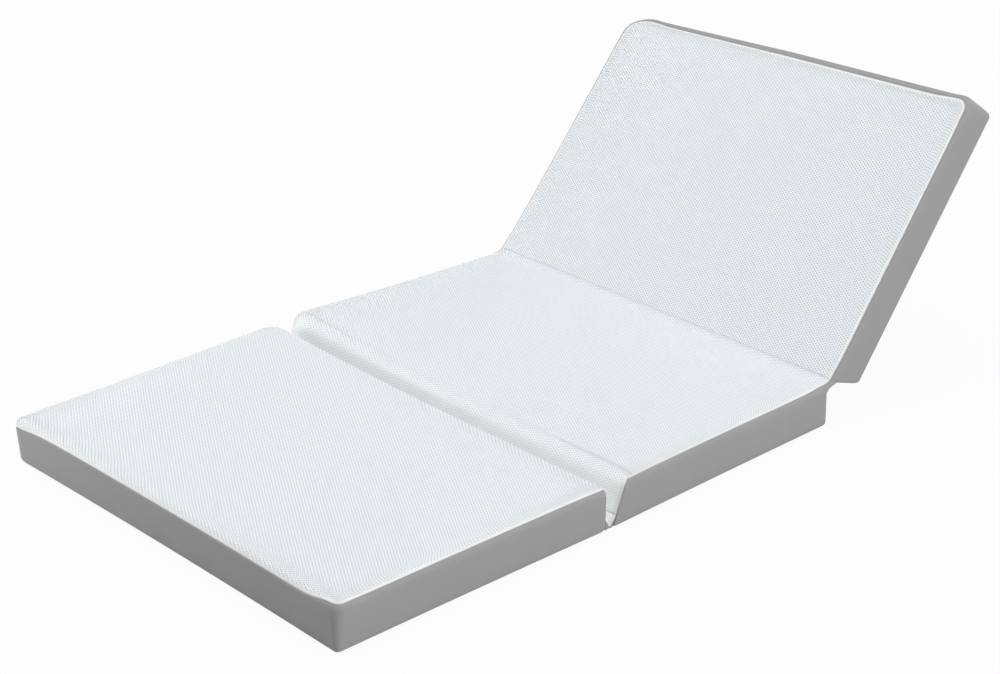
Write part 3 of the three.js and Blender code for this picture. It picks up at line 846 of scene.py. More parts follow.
    def stations_round(self, first, last):
        """Stations from one to another, going on past the end of the list."""
        steps = (last - first) % self.count or self.count
        return [(first + step) % self.count for step in range(steps + 1)]

    def side_run(self, first, last):
        """Stations from the corner where one side starts to the corner where another does."""
        return self.stations_round(*(self.starts[SIDES.index(side)] for side in (first, last)))

    def band_quads(self, low, high, run=None):
        """The quads between two rows, over a run of stations or all round, each with two stations."""
        run = list(range(self.count)) + [0] if run is None else run
        quads = []
        for a, b in zip(self.index[low:high], self.index[low + 1:high + 1]):
            quads += [((a[i], a[j], b[j], b[i]), (i, j)) for i, j in zip(run, run[1:])]
        return quads

    def band_faces(self, low, high, run=None):
        return [face for face, stations in self.band_quads(low, high, run)]

    def patch_faces(self, name, columns=slice(None)):
        patch = self.patches[name][columns]
        corners = (patch[:-1, :-1], patch[1:, :-1], patch[1:, 1:], patch[:-1, 1:])
        quads = [tuple(quad) for quad in np.stack(corners, axis=-1).reshape(-1, 4)]
        return quads if name == "over" else [quad[::-1] for quad in quads]

    def closed_faces(self):
        return self.patch_faces("under") + self.band_faces(0, self.rows - 1) + self.patch_faces("over")

    def pins(self):
        """What stays in place in the simulation: the foot, the seams, the hinge and the zip."""
        held = np.zeros(len(self.points), bool)
        held[self.index[: self.bottom_seam_row + 1]] = True
        held[self.patches["under"]] = True
        held[self.index[self.seam_row]] = True
        held[self.index[list(self.window_rows)][:, self.side_stations("far")]] = True
        held[self.index[: self.seam_row + 1, self.starts]] = True
        for end, x in (("left", self.points[:, 0]), ("right", PITCH - self.points[:, 0])):
            if self.panel.ends[end] == "upper":
                held |= x < HINGE_HALF + CREASE_HELD
            if self.panel.ends[end] == "lower":
                held[self.index[: self.flap_row + 1, self.side_stations(end)]] = True
        return held


def new_mesh(name, points, faces):
    mesh = bpy.data.meshes.new(name)
    mesh.from_pydata([tuple(point) for point in points], [], [tuple(int(i) for i in f) for f in faces])
    mesh.update()
    return add_object(name, mesh)


def swell(form):
    """Fills the closed form with a little air and keeps where its cloth settles."""
    obj = new_mesh(f"{form.panel.name}_swelling", form.points, form.closed_faces())
    group = obj.vertex_groups.new(name="held")
    group.add([int(i) for i in np.flatnonzero(form.pins())], 1.0, "REPLACE")
    cloth = obj.modifiers.new("cloth", "CLOTH")
    for key, value in SWELL_SETTINGS.items():
        setattr(cloth.settings, key, value)
    cloth.settings.effector_weights.gravity = 0
    cloth.collision_settings.use_collision = False
    cloth.point_cache.frame_start = 1
    cloth.point_cache.frame_end = SWELL_FRAMES
    scene = bpy.context.scene
    for number in range(1, SWELL_FRAMES + 1):
        scene.frame_set(number)
    settled = obj.evaluated_get(bpy.context.evaluated_depsgraph_get()).to_mesh()
    moved = np.zeros(len(settled.vertices) * 3)
    settled.vertices.foreach_get("co", moved)
    bpy.data.objects.remove(obj)
    scene.frame_set(1)
    offset = moved.reshape(-1, 3) - form.points
    far = np.linalg.norm(offset, axis=1).max()
    form.points = form.points + offset * min(1.0, SWELL_LIMIT / max(far, TINY))


FORMS = {name: Form(panel) for name, panel in PANELS.items()}
for form in FORMS.values():
    swell(form)


# Weave layers: how far along and across the cloth each point lies, and how far from its seam

def run_lengths(points):
    """Lengths from the first point along a line of points."""
    steps = np.linalg.norm(np.diff(points, axis=0), axis=1)
    return np.concatenate([[0], np.cumsum(steps)])


def perimeter_lengths(form):
    """How far round the panel each station lies."""
    return run_lengths(form.ring[form.window_rows[0]])


def border_weave(form):
    weave = np.zeros((len(form.points), 2))
    weave[form.index, 0] = perimeter_lengths(form)
    weave[form.index, 1] = form.ring[:, :, 2]
    return weave


def top_weave(form):
    """The mesh's own coordinates: flat on top, and carried on down over its edges."""
    weave = form.points[:, :2].copy()
    weave[:, 0] += form.panel.origin[0] + 1.5 * PITCH
    outward = np.stack([form.nx, form.ny], axis=-1)
    travel = np.zeros(form.count)
    last = form.rows - 1
    for row in range(last - 1, form.bottom_seam_row, -1):
        travel = travel + np.linalg.norm(form.ring[row] - form.ring[row + 1], axis=1)
        weave[form.index[row]] = weave[form.index[last]] + outward * travel[:, None]
    return weave


def top_edge_distances(form):
    """How far each point of the mesh lies from the mesh's own sewn edge."""
    distance = np.full(len(form.points), EDGE_FAR)
    aside = np.full(form.count, EDGE_FAR)
    hinged = np.zeros(form.count, bool)
    length = perimeter_lengths(form)
    for side, kind in form.panel.ends.items():
        if kind != "free":
            run = form.side_stations(side)
            hinged[run] = True
            ends = np.abs(length[run][:, None] - length[[run[0], run[-1]]])
            aside[run] = np.minimum(ends, length[-1] - ends).min(axis=1)
    travel = np.zeros(form.count)
    for row in range(form.rows):
        if row > form.seam_row:
            travel = travel + np.linalg.norm(form.ring[row] - form.ring[row - 1], axis=1)
        distance[form.index[row]] = np.where(hinged, np.hypot(aside, travel), travel)
    return distance


def wall_shares(form):
    """How far each point of the mesh has turned down into the lower notch, from 0 to 1: the mask of the
    painted light on the notch wall.
    """
    share = np.zeros(len(form.points))
    for end, kind in form.panel.ends.items():
        if kind == "lower":
            stations = form.side_stations(end)
            share[form.index[:, stations]] = np.sin(form.tilts[:, stations]) ** 2
    return share


# Pieces of the cover

def form_normals(points, faces):
    normals = np.zeros_like(points)
    quads = np.array(faces)
    diagonal = np.cross(points[quads[:, 2]] - points[quads[:, 0]], points[quads[:, 3]] - points[quads[:, 1]])
    for corner in range(4):
        np.add.at(normals, quads[:, corner], diagonal)
    return normals / np.maximum(np.linalg.norm(normals, axis=1, keepdims=True), TINY)


class Cloth:
    """A piece of cloth in the making: its points, faces and layers, from one or more forms."""

    def __init__(self):
        self.points = np.zeros((0, 3))
        self.normals = np.zeros((0, 3))
        self.weave = np.zeros((0, 2))
        self.edge = np.zeros((0, 2))
        self.faces = []

    def add(self, points, weave, edge=None, normals=None, wall=0.0):
        start = len(self.points)
        points = np.asarray(points).reshape(-1, 3)
        edge = np.full(len(points), EDGE_FAR) if edge is None else np.ravel(edge)
        normals = np.zeros_like(points) if normals is None else normals
        self.points = np.concatenate([self.points, points])
        self.normals = np.concatenate([self.normals, normals])
        self.weave = np.concatenate([self.weave, np.reshape(weave, (-1, 2))])
        self.edge = np.concatenate([self.edge, np.column_stack([edge, wall + 0 * edge])])
        return start

    def add_form(self, form, faces, weave, edge=None, wall=0.0):
        placed = form.panel.place(form.points)
        start = self.add(placed, weave, edge, form_normals(placed, form.closed_faces()), wall)
        self.faces += [tuple(start + i for i in face) for face in faces]
        return start

    def add_grid(self, points, weave, edge=None, first=None, last=None, wall=0.0):
        """A grid of quads; its first and last columns may be points that are there already."""
        shape = np.asarray(points).shape[:2]
        start = self.add(points, weave, edge, wall=wall)
        number = start + np.arange(shape[0] * shape[1]).reshape(shape)
        if first is not None:
            number[:, 0], number[:, -1] = first, last
        corners = (number[:-1, :-1], number[:-1, 1:], number[1:, 1:], number[1:, :-1])
        self.faces += [tuple(quad) for quad in np.stack(corners, axis=-1).reshape(-1, 4)]

    def piece(self, name, lip_depth, left_open=lambda place: False):
        """The mesh object, with its sewn edges turned in by lip_depth, apart from edges whose
        points are all left open."""
        blank = np.linalg.norm(self.normals, axis=1) < 0.5
        self.normals[blank] = form_normals(self.points, self.faces)[blank]
        obj = new_mesh(name, self.points, self.faces)
        bm = bmesh.new()
        bm.from_mesh(obj.data)
        weave, edge = bm.loops.layers.uv.new("weave"), bm.loops.layers.uv.new("edge")
        layers = {vert: (self.weave[vert.index], self.edge[vert.index]) for vert in bm.verts}
        rim = [e for e in bm.edges if e.is_boundary and not all(left_open(v.co) for v in e.verts)]
        inward = {}
        for vert in sorted({v for e in rim for v in e.verts}, key=lambda v: v.index):
            normal = Vector(self.normals[vert.index])
            pull = Vector()
            for face in vert.link_faces:
                pull += (face.calc_center_median() - vert.co).normalized()
            pull -= normal * pull.dot(normal)
            inward[vert] = (pull.normalized(), normal)
        if lip_depth:
            made = bmesh.ops.extrude_edge_only(bm, edges=rim)["geom"]
            for lip in (v for v in made if isinstance(v, bmesh.types.BMVert)):
                upper = next(e.other_vert(lip) for e in lip.link_edges if e.other_vert(lip) in inward)
                pull, normal = inward[upper]
                lip.co = upper.co + pull * 2 * SEAM_LIP - normal * lip_depth
                layers[lip] = layers[upper]
            for vert, (pull, normal) in inward.items():
                vert.co += pull * SEAM_LIP
        for face in bm.faces:
            for loop in face.loops:
                loop[weave].uv, loop[edge].uv = layers[loop.vert]
        bmesh.ops.delete(bm, geom=[v for v in bm.verts if not v.link_faces], context="VERTS")
        bmesh.ops.recalc_face_normals(bm, faces=bm.faces)
        bm.to_mesh(obj.data)
        bm.free()
        return obj


def smooth_shade(obj):
    for polygon in obj.data.polygons:
        polygon.use_smooth = True


def finish_cloth(obj, slot, thickness, sharp_rim=False):
    obj.data.materials.append(MATERIALS[slot])
    smooth_shade(obj)
    smooth = obj.modifiers.new("smooth", "SUBSURF")
    smooth.levels = 1
    smooth.render_levels = 1
    smooth.boundary_smooth = "PRESERVE_CORNERS" if sharp_rim else "ALL"
    shell = obj.modifiers.new("shell", "SOLIDIFY")
    shell.thickness = thickness
    shell.offset = -1


def window_faces(form):
    """The faces of the far side that the zip's window takes away."""
    return form.band_faces(*form.window_rows, form.stations_round(*form.window_stations()))


def end_faces(form, kind, low, high):
    """The faces between two rows on the panel's end of the given kind."""
    runs = [form.side_stations(end) for end in form.panel.ends if form.panel.ends[end] == kind]
    return [face for run in runs for face in form.band_faces(low, high, run)]


def border(form, name, first, last, node):
    faces = form.band_faces(form.bottom_seam_row, form.seam_row, form.side_run(first, last))
    under_lining = end_faces(form, "upper", form.seam_row - LINING_ROWS, form.seam_row)
    gone = {*window_faces(form), *under_lining}
    cloth = Cloth()
    cloth.add_form(form, [face for face in faces if face not in gone], border_weave(form))
    piece = cloth.piece(name, SEAM_DEPTH_CLOTH)
    finish_cloth(piece, "border_cloth", CLOTH_THICKNESS)
    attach(piece, form.panel.body)
    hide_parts(node)


def underside(form):
    faces = form.patch_faces("under") + form.band_faces(0, form.bottom_seam_row)
    faces += end_faces(form, "upper", form.bottom_seam_row, form.seam_row - LINING_ROWS)
    cloth = Cloth()
    cloth.add_form(form, faces, form.points[:, :2])
    piece = cloth.piece(f"{form.panel.name}_base_cloth", SEAM_DEPTH_CLOTH)
    finish_cloth(piece, "border_cloth", CLOTH_THICKNESS)
    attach(piece, form.panel.body)
    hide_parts(f"{form.panel.name}_underside")


def flap_faces(form):
    """The mesh that runs down a notch wall to just above the lower hinge."""
    return end_faces(form, "lower", form.flap_row, form.seam_row)


def over_fold(form):
    """Says whether a placed point lies at the foot of the mesh flap, where the hinge goes on."""
    foot = form.ring[form.flap_row][0][2]
    return lambda place: abs(place[2] - foot) < WELD


def front_top(form):
    faces = form.band_faces(form.seam_row, form.rows - 1) + form.patch_faces("over") + flap_faces(form)
    cloth = Cloth()
    cloth.add_form(form, faces, top_weave(form), top_edge_distances(form), wall_shares(form))
    piece = cloth.piece("front_air_mesh", SEAM_DEPTH_MESH, over_fold(form))
    finish_cloth(piece, "air_mesh", MESH_THICKNESS)
    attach(piece, "front_panel")
    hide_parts("front_mesh_top")


def crease_line(form, at_right):
    """The points where a top stops short of the upper fold, from the near seam to the far one."""
    back = -1 - HALF_CORNER
    near = form.side_stations("near")[back if at_right else HALF_CORNER]
    far = form.side_stations("far")[HALF_CORNER if at_right else back]
    column = form.patches["over"][back if at_right else HALF_CORNER]
    rise = form.index[form.seam_row:]
    return [*rise[:, near], *column[1:-1], *rise[::-1, far]]


def sleeping_faces(form):
    """The top faces of a panel beside the upper fold, up to its crease line."""
    at_right = form.panel.ends["right"] == "upper"
    beyond = set(form.side_stations("right" if at_right else "left"))
    quads = form.band_quads(form.seam_row, form.rows - 1)
    columns = slice(None, -HALF_CORNER) if at_right else slice(HALF_CORNER, None)
    faces = [face for face, stations in quads if not beyond.issuperset(stations)]
    return faces + form.patch_faces("over", columns)


def bend_over_fold(start, finish, control, steps):
    """Points on a curve from one point to another, drawn towards a third."""
    share = np.linspace(0, 1, steps + 1)[:, None]
    return (1 - share) ** 2 * start + 2 * share * (1 - share) * control + share ** 2 * finish


def fold_corner(depth, y=0):
    """Where the two tops' planes, moved down by a depth, meet at the upper fold."""
    return np.array([UPPER_FOLD.x + depth * math.tan(RAISE / 2), y, UPPER_FOLD.z - depth])


def middle_and_rear_top(middle, rear):
    """One sheet of mesh over both panels, bent where they meet. Returns the bend's grid."""
    cloth = Cloth()
    middle_start = cloth.add_form(middle, sleeping_faces(middle) + flap_faces(middle), top_weave(middle),
                                  top_edge_distances(middle), wall_shares(middle))
    rear_start = cloth.add_form(rear, sleeping_faces(rear), top_weave(rear), top_edge_distances(rear))
    left = [middle_start + i for i in crease_line(middle, True)]
    right = [rear_start + i for i in crease_line(rear, False)]
    grid = []
    for start, finish in zip(cloth.points[left], cloth.points[right]):
        control = fold_corner(UPPER_FOLD.z - start[2], (start[1] + finish[1]) / 2)
        grid.append(bend_over_fold(start, finish, control, CREASE_STEPS))
    share = np.linspace(0, 1, CREASE_STEPS + 1)[None, :, None]
    weave = cloth.weave[left][:, None] * (1 - share) + cloth.weave[right][:, None] * share
    count = np.arange(len(left))
    from_near = run_lengths(cloth.points[left])
    to_seam = np.minimum(from_near, from_near[-1] - from_near)
    edge = np.where(np.minimum(count, count[::-1]) < EDGE_FAR / SPACING, to_seam, EDGE_FAR)
    cloth.add_grid(grid, weave, np.repeat(edge[:, None], CREASE_STEPS + 1, axis=1), left, right)
    cloth.normals[left + right] = 0
    piece = cloth.piece("middle_and_rear_air_mesh", SEAM_DEPTH_MESH, over_fold(middle))
    finish_cloth(piece, "air_mesh", MESH_THICKNESS)
    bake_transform(piece)
    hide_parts("middle_mesh_top", "upper_hinge_mesh", "rear_mesh_top")
    return grid


# The two folds

def web_heights(share, first, last):
    """Heights of the web across the notch, where share is 0 at its earlier wall and 1 at its later one."""
    down = np.clip(1 - share / WEB_TIP_SHARE, 0, 1)
    up = ramp(share, WEB_TIP_SHARE, 1) ** WEB_LATER_POWER
    return WEB_LOW + (first - WEB_LOW) * down + (last - WEB_LOW) * up


def lower_web(front, middle):
    """The mesh that joins the two flaps at the foot of the notch, hanging in a V."""
    foot = front.index[front.flap_row][front.side_stations("right")]
    left = front.panel.place(front.points[foot])
    right = middle.index[middle.flap_row][middle.side_stations("left")][::-1]
    right = middle.panel.place(middle.points[right])
    share = np.linspace(0, 1, WEB_STEPS + 1)
    z = web_heights(share, left[:, 2:], right[:, 2:])
    wall = middle.panel.wall("left", z) + middle.panel.origin[0]
    wall += right[:, :1] - wall[:, -1:]
    x = left[:, :1] + (wall - left[:, :1]) * share
    y = left[:, 1:2] + (right[:, 1:2] - left[:, 1:2]) * share
    grid = np.stack([x, y, z], axis=-1)
    along = top_weave(front)[foot, :1] + np.array([run_lengths(line) for line in grid])
    across = np.repeat(left[:, 1][:, None], WEB_STEPS + 1, axis=1)
    from_side = np.max(np.abs(across)) - np.abs(across)
    joined = [Vector(point) for point in (*left, *right)]
    cloth = Cloth()
    # The web gets the full painted light of the notch wall: paler thread, holes mostly closed over
    cloth.add_grid(grid, np.stack([along, across], axis=-1), from_side, wall=1.0)
    piece = cloth.piece("notch_web_air_mesh", 0,
                        lambda place: min((place - other).length for other in joined) < WELD)
    finish_cloth(piece, "air_mesh", WEB_THICKNESS)
    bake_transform(piece)
    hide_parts("lower_hinge_mesh")


def closed_tube(sections):
    """Points and faces of a closed body through sections of equal count, capped at both ends."""
    sections = np.asarray(sections)
    number = np.arange(sections[..., 0].size).reshape(sections.shape[:2])
    after = np.roll(number, -1, axis=1)
    corners = (number[:-1], after[:-1], after[1:], number[1:])
    faces = [tuple(quad) for quad in np.stack(corners, axis=-1).reshape(-1, 4)]
    return sections.reshape(-1, 3), [*faces, tuple(number[0]), tuple(number[-1][::-1])]


def closed_body(name, points, faces, weave):
    """A closed mesh with its normals outward and each vertex's place on the cloth."""
    obj = new_mesh(name, points, faces)
    bm = bmesh.new()
    bm.from_mesh(obj.data)
    bmesh.ops.recalc_face_normals(bm, faces=bm.faces)
    bm.to_mesh(obj.data)
    bm.free()
    layer = obj.data.uv_layers.new(name="weave")
    for loop in obj.data.loops:
        layer.data[loop.index].uv = weave[loop.vertex_index]
    return obj


def lower_hinge_bar():
    """The grey cloth under the web, arched a little over the floor, with its ends turned in."""
    middle = PANELS["middle"]
    top_edge = WALL_ROWS[-1] - BAR_EASE
    left = LOWER_FOLD.x + EARLIER_WALL_FEET["lower"] + BAR_EASE
    shares = np.linspace(0, 1, BAR_STEPS)
    outline = [(share, web_heights(share, top_edge, top_edge) - BAR_DROP) for share in shares]
    outline = [(left + (middle.origin[0] + middle.wall("left", z) - BAR_EASE - left) * share, z)
               for share, z in outline]
    right = middle.origin[0] + middle.wall("left", BAR_LOW) - BAR_EASE
    outline += [(left + (right - left) * share, BAR_LOW + BAR_ARCH * math.sin(math.pi * share))
                for share in shares[::-1]]
    width = outline[BAR_STEPS - 1][0] - left
    reach = HALF_WIDTH - BAR_INSET
    from_end = np.linspace(0, HINGE_CORNER, BAR_CORNER_STEPS)
    between = np.linspace(-reach + SPACING, reach - SPACING, round(2 * reach / SPACING))
    sections = []
    for y in np.concatenate([from_end - reach, between, reach - from_end[::-1]]):
        to_round = max(0, HINGE_CORNER - HALF_WIDTH + abs(y))
        wider = HINGE_CORNER - math.sqrt(HINGE_CORNER ** 2 - to_round ** 2)
        section = []
        for x, z in outline:
            share = (x - left) / width
            place = x + wider * (2 * share - 1) + notch_widening(y) * share - fold_shift(y)
            section.append((place, y - near_push(y / HALF_WIDTH, 1), z))
        sections.append(section)
    points, faces = closed_tube(sections)
    obj = closed_body("notch_foot_cloth", points, faces, [(p[1], p[0] + p[2]) for p in points])
    obj.data.materials.append(MATERIALS["border_cloth"])
    obj.data.set_sharp_from_angle(angle=BAR_SHARP_ANGLE)
    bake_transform(obj)
    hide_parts("lower_hinge_cloth")


def across_fold(line, y):
    """A line of points over the fold, moved to the given y."""
    return np.column_stack([line[:, 0], y + 0 * line[:, 0], line[:, 2]])


def crease_lining(middle, rear):
    """The grey cloth under the upper fold: a roof over the notch that comes down a little over
    both walls, and goes on round its ends up to the seam of the mesh."""
    top = EDGE_HEIGHT - LINING_DEPTH
    start = np.array([middle.origin[0] + middle.wall("right", top) + LINING_EASE, 0, top])
    finish = rear.place(np.array([rear.wall("left", top) - LINING_EASE, 0, top]))
    apex = fold_corner(LINING_APEX_DEPTH) + np.array([-LINING_APEX_BACK, 0, 0])
    lower = bend_over_fold(start, finish, 2 * apex - (start + finish) / 2, LINING_STEPS)
    seam_depth = SIDE_ROUND * (1 - math.cos(math.radians(CORNER_TILTS["middle", "right"][0])))
    seam_height = EDGE_HEIGHT - seam_depth
    middle_end = middle.origin[0] + middle.wall("right", EDGE_HEIGHT)
    seam_start = np.array([middle_end - HINGE_CORNER, 0, seam_height])
    seam_finish = rear.place(np.array([LATER_WALL_STARTS["upper"] + HINGE_CORNER, 0, seam_height]))
    upper = bend_over_fold(seam_start, seam_finish, fold_corner(seam_depth), LINING_STEPS)
    share = np.linspace(0, 1, LINING_STEPS + 1)
    at_wall = np.abs(2 * share - 1) ** LINING_WALL_POWER
    back = np.where(share[:, None] < 0.5, [-1, 0, 0], [math.cos(RAISE), 0, math.sin(RAISE)])
    back = back * at_wall[:, None]
    turns = [HINGE_CORNER * (1 - np.array([math.sin(turn), math.cos(turn)])) for turn in LINING_TURNS]
    ends = []
    for k in np.linspace(0, 1, TAB_STEPS + 1):
        line = upper + (lower - upper) * k + back * turns[0][0] * k
        down = seam_depth + k * (LINING_DEPTH * at_wall + LINING_APEX_DEPTH * (1 - at_wall) - seam_depth)
        tilt = np.arccos(np.clip(1 - down / SIDE_ROUND, 0, 1))
        inset = SIDE_ROUND * (1 - np.sin(tilt)) + turns[0][1] * at_wall * k
        ends.append((line, HALF_WIDTH - inset + LINING_EASE))
    ends += [(lower + back * in_x, HALF_WIDTH - in_y) for in_x, in_y in turns[1:]]
    span = HALF_WIDTH - HINGE_CORNER - SIDE_ROUND
    rows = [across_fold(line, -reach) for line, reach in ends]
    rows += [across_fold(lower, y) for y in np.linspace(-span, span, round(2 * span / SPACING))]
    rows += [across_fold(line, reach) for line, reach in ends[::-1]]
    grid = np.array(rows)
    along = np.array([run_lengths(row) for row in grid])
    across = run_lengths(grid[:, LINING_STEPS // 2])
    cloth = Cloth()
    cloth.add_grid(grid, np.stack([along, np.repeat(across[:, None], LINING_STEPS + 1, axis=1)], axis=-1))
    piece = cloth.piece("crease_lining_cloth", 0)
    finish_cloth(piece, "border_cloth", CLOTH_THICKNESS, sharp_rim=True)
    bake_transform(piece)
    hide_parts("upper_hinge_cloth")


# Foam

def foam_block(form):
    """The foam block: the panel's form, drawn in by the cover's thickness and a little ease."""
    points = form.points - form_normals(form.points, form.closed_faces()) * FOAM_INSET
    points[:, 1] = np.minimum(points[:, 1], HALF_WIDTH - FOAM_ZIP_INSET)
    obj = new_mesh(f"{form.panel.name}_foam_block", form.panel.place(points), form.closed_faces())
    smooth_shade(obj)
    obj.data.materials.append(MATERIALS["foam"])
    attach(obj, form.panel.body)
    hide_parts(f"{form.panel.name}_foam_core")


# Seams

def tube_rings(line, radius, sides):
    """Rings of points round a line of points, with tapered ends."""
    ahead = np.gradient(line, axis=0)
    ahead /= np.linalg.norm(ahead, axis=1, keepdims=True)
    side = np.cross(ahead, (0.0, 0.0, 1.0))
    upright = np.linalg.norm(side, axis=1) < 0.3
    side[upright] = np.cross(ahead[upright], (1.0, 0.0, 0.0))
    side /= np.linalg.norm(side, axis=1, keepdims=True)
    up = np.cross(side, ahead)
    size = np.full((len(line), 1, 1), radius)
    size[[0, -1]] *= TUBE_TIP_SHARE
    angle = np.linspace(0, 2 * math.pi, sides, endpoint=False)[:, None]
    return line[:, None] + size * (np.cos(angle) * side[:, None] + np.sin(angle) * up[:, None])


def join_tubes(name, lines, radius, sides=THREAD_SIDES):
    """One piece of thread along many lines."""
    points, faces, weave = [], [], []
    for line in lines:
        body, skin = closed_tube(tube_rings(line, radius, sides))
        faces += [tuple(len(points) + i for i in face) for face in skin]
        points += list(body)
        weave += [(length, side * radius) for length in run_lengths(line) for side in range(sides)]
    obj = closed_body(name, points, faces, weave)
    smooth_shade(obj)
    obj.data.materials.append(THREAD_MATERIAL)
    return obj


def seam_line(form, row, stations):
    """A seam's line along a row, or up a station, a little under the surface."""
    normals = form_normals(form.points, form.closed_faces())
    places = form.index[row, stations]
    return form.panel.place(form.points[places] - normals[places] * SEAM_CORD_DEPTH)


def border_runs(form):
    """The sides where each strip of a panel's border starts and ends: all that isn't beside a fold."""
    if form.panel.ends["left"] == "free":
        return [("far", "right")]
    if form.panel.ends["right"] == "free":
        return [("near", "left")]
    return [("near", "right"), ("far", "left")]


def panel_seams(form):
    lines = [seam_line(form, form.bottom_seam_row, form.side_run(*run)) for run in border_runs(form)]
    for end, kind in form.panel.ends.items():
        if kind == "free":
            continue
        low, high = form.flap_row, form.seam_row
        if kind == "upper":
            low, high = form.bottom_seam_row, form.seam_row - LINING_ROWS
        for corner in (0, -1):
            lines.append(seam_line(form, slice(low, high + 1), form.side_stations(end)[corner]))
    obj = join_tubes(f"{form.panel.name}_seam_threads", lines, SEAM_CORD_RADIUS)
    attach(obj, form.panel.body)


def front_top_seam(form):
    line = seam_line(form, form.seam_row, form.side_run("far", "right"))
    obj = join_tubes("front_top_seam_thread", [line], SEAM_CORD_RADIUS)
    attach(obj, "front_panel")


def long_top_seam(middle, rear, crease):
    """The seam round the middle and rear panels, over the crease on both sides."""
    back = -1 - HALF_CORNER
    near_middle = middle.stations_round(middle.starts[0], middle.side_stations("near")[back])
    round_rear = rear.stations_round(rear.side_stations("near")[HALF_CORNER], rear.side_stations("far")[back])
    far_middle = middle.stations_round(middle.side_stations("far")[HALF_CORNER], middle.starts[-1])
    down = SEAM_CORD_DEPTH * np.array([0, 0, 1])
    line = np.concatenate([
        seam_line(middle, middle.seam_row, near_middle),
        crease[0][1:-1] - down,
        seam_line(rear, rear.seam_row, round_rear),
        crease[-1][1:-1][::-1] - down,
        seam_line(middle, middle.seam_row, far_middle),
    ])
    obj = join_tubes("long_top_seam_thread", [line], SEAM_CORD_RADIUS)
    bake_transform(obj)


# Zips

def zip_place(panel, along, out, up):
    """A place in the panel's frame, given along the zip from its closed end, out of the side and up."""
    return np.array([panel.zip_start() + along, HALF_WIDTH + out, ZIP_HEIGHT + up])


def zip_slab(name, panel, low, high, slot):
    """A woven tape: a thin slab with its long edges rounded, gridded for its weave."""
    (x0, y0, z0), (x1, y1, z1) = low, high
    half = (y1 - y0) / 2
    heights = np.linspace(z0 + half, z1 - half, TAPE_HEIGHTS)
    outline = [(y0 + half, z0), *((y0, z) for z in heights)]
    outline += [(y0 + half, z1), *((y1, z) for z in heights[::-1])]
    cells = np.linspace(x0, x1, TAPE_CELLS)
    points, faces = closed_tube([[zip_place(panel, x, y, z) for y, z in outline] for x in cells])
    lean_far_side(panel, points)
    obj = closed_body(name, panel.place(points), faces, [(x, z) for x in cells for y, z in outline])
    soft = obj.modifiers.new("soft edges", "BEVEL")
    soft.width = half * TAPE_BEVEL_SHARE
    soft.segments = 2
    soft.limit_method = "ANGLE"
    smooth_shade(obj)
    obj.data.materials.append(MATERIALS[slot])
    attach(obj, panel.body)
    return obj


def zip_tapes(panel):
    for part, sign in (("upper", 1), ("lower", -1)):
        heights = sorted((sign * TAPE_INNER, sign * TAPE_OUTER))
        low = (TAPE_START, TAPE_LOW, heights[0])
        high = (TAPE_FINISH, TAPE_HIGH, heights[1])
        tape = zip_slab(f"{panel.name}_{part}_woven_tape", panel, low, high, "zip_tape")
        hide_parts(f"{panel.name}_zip_{part}_tape")


def coil_tooth(panel, along, sign):
    """One turn of the coil, seen end on: a loop that reaches across the middle from its tape."""
    parted = abs(along - POST_PLACE) < POST_REACH
    tip, root = sign * COIL_PARTED if parted else -sign * COIL_TIP, sign * COIL_ROOT
    middle_out = (COIL_LOW + COIL_HIGH) / 2
    reach = (COIL_HIGH - COIL_LOW) / 2 - TOOTH_RADIUS
    line = []
    for share in np.linspace(0, 1, TOOTH_POINTS):
        angle = math.pi * share
        up = root + (tip - root) * math.sin(angle) ** TOOTH_POWER
        out = middle_out + reach * math.cos(angle)
        line.append(zip_place(panel, along + TOOTH_LEAN * (share - 0.5), out, up))
    return panel.place(line)


def zip_coil(panel):
    count = round((COIL_FINISH - COIL_START) / TOOTH_STEP)
    lines = [coil_tooth(panel, COIL_START + (number + 0.5) * TOOTH_STEP, 1 if number % 2 else -1)
             for number in range(count)]
    obj = join_tubes(f"{panel.name}_coil_teeth", lines, TOOTH_RADIUS, FINE_SIDES)
    obj.data.materials.clear()
    obj.data.materials.append(MATERIALS["zip_coil"])
    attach(obj, panel.body)
    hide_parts(f"{panel.name}_zip_coil")


def topstitch(panel):
    """Two rows of stitches beside the zip's window, each stitch bowed over the cloth."""
    low, high = window_places(panel)
    shares = np.linspace(0, 1, STITCH_POINTS)
    out = HALF_WIDTH + (STITCH_RISE * np.sin(math.pi * shares) - STITCH_RADIUS * STITCH_SUNK_SHARE)
    lines = []
    for side in (-1, 1):
        height = ZIP_HEIGHT + side * (ZIP_WINDOW_HALF + STITCH_INSET)
        for number in range(round((high - low) / STITCH_STEP)):
            start = low + (number + STITCH_START_SHARE) * STITCH_STEP
            along = start + STITCH_LENGTH_SHARE * STITCH_STEP * shares
            lines.append(panel.place(np.column_stack([along, out, height + 0 * shares])))
    obj = join_tubes(f"{panel.name}_zip_topstitch", lines, STITCH_RADIUS, FINE_SIDES)
    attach(obj, panel.body)


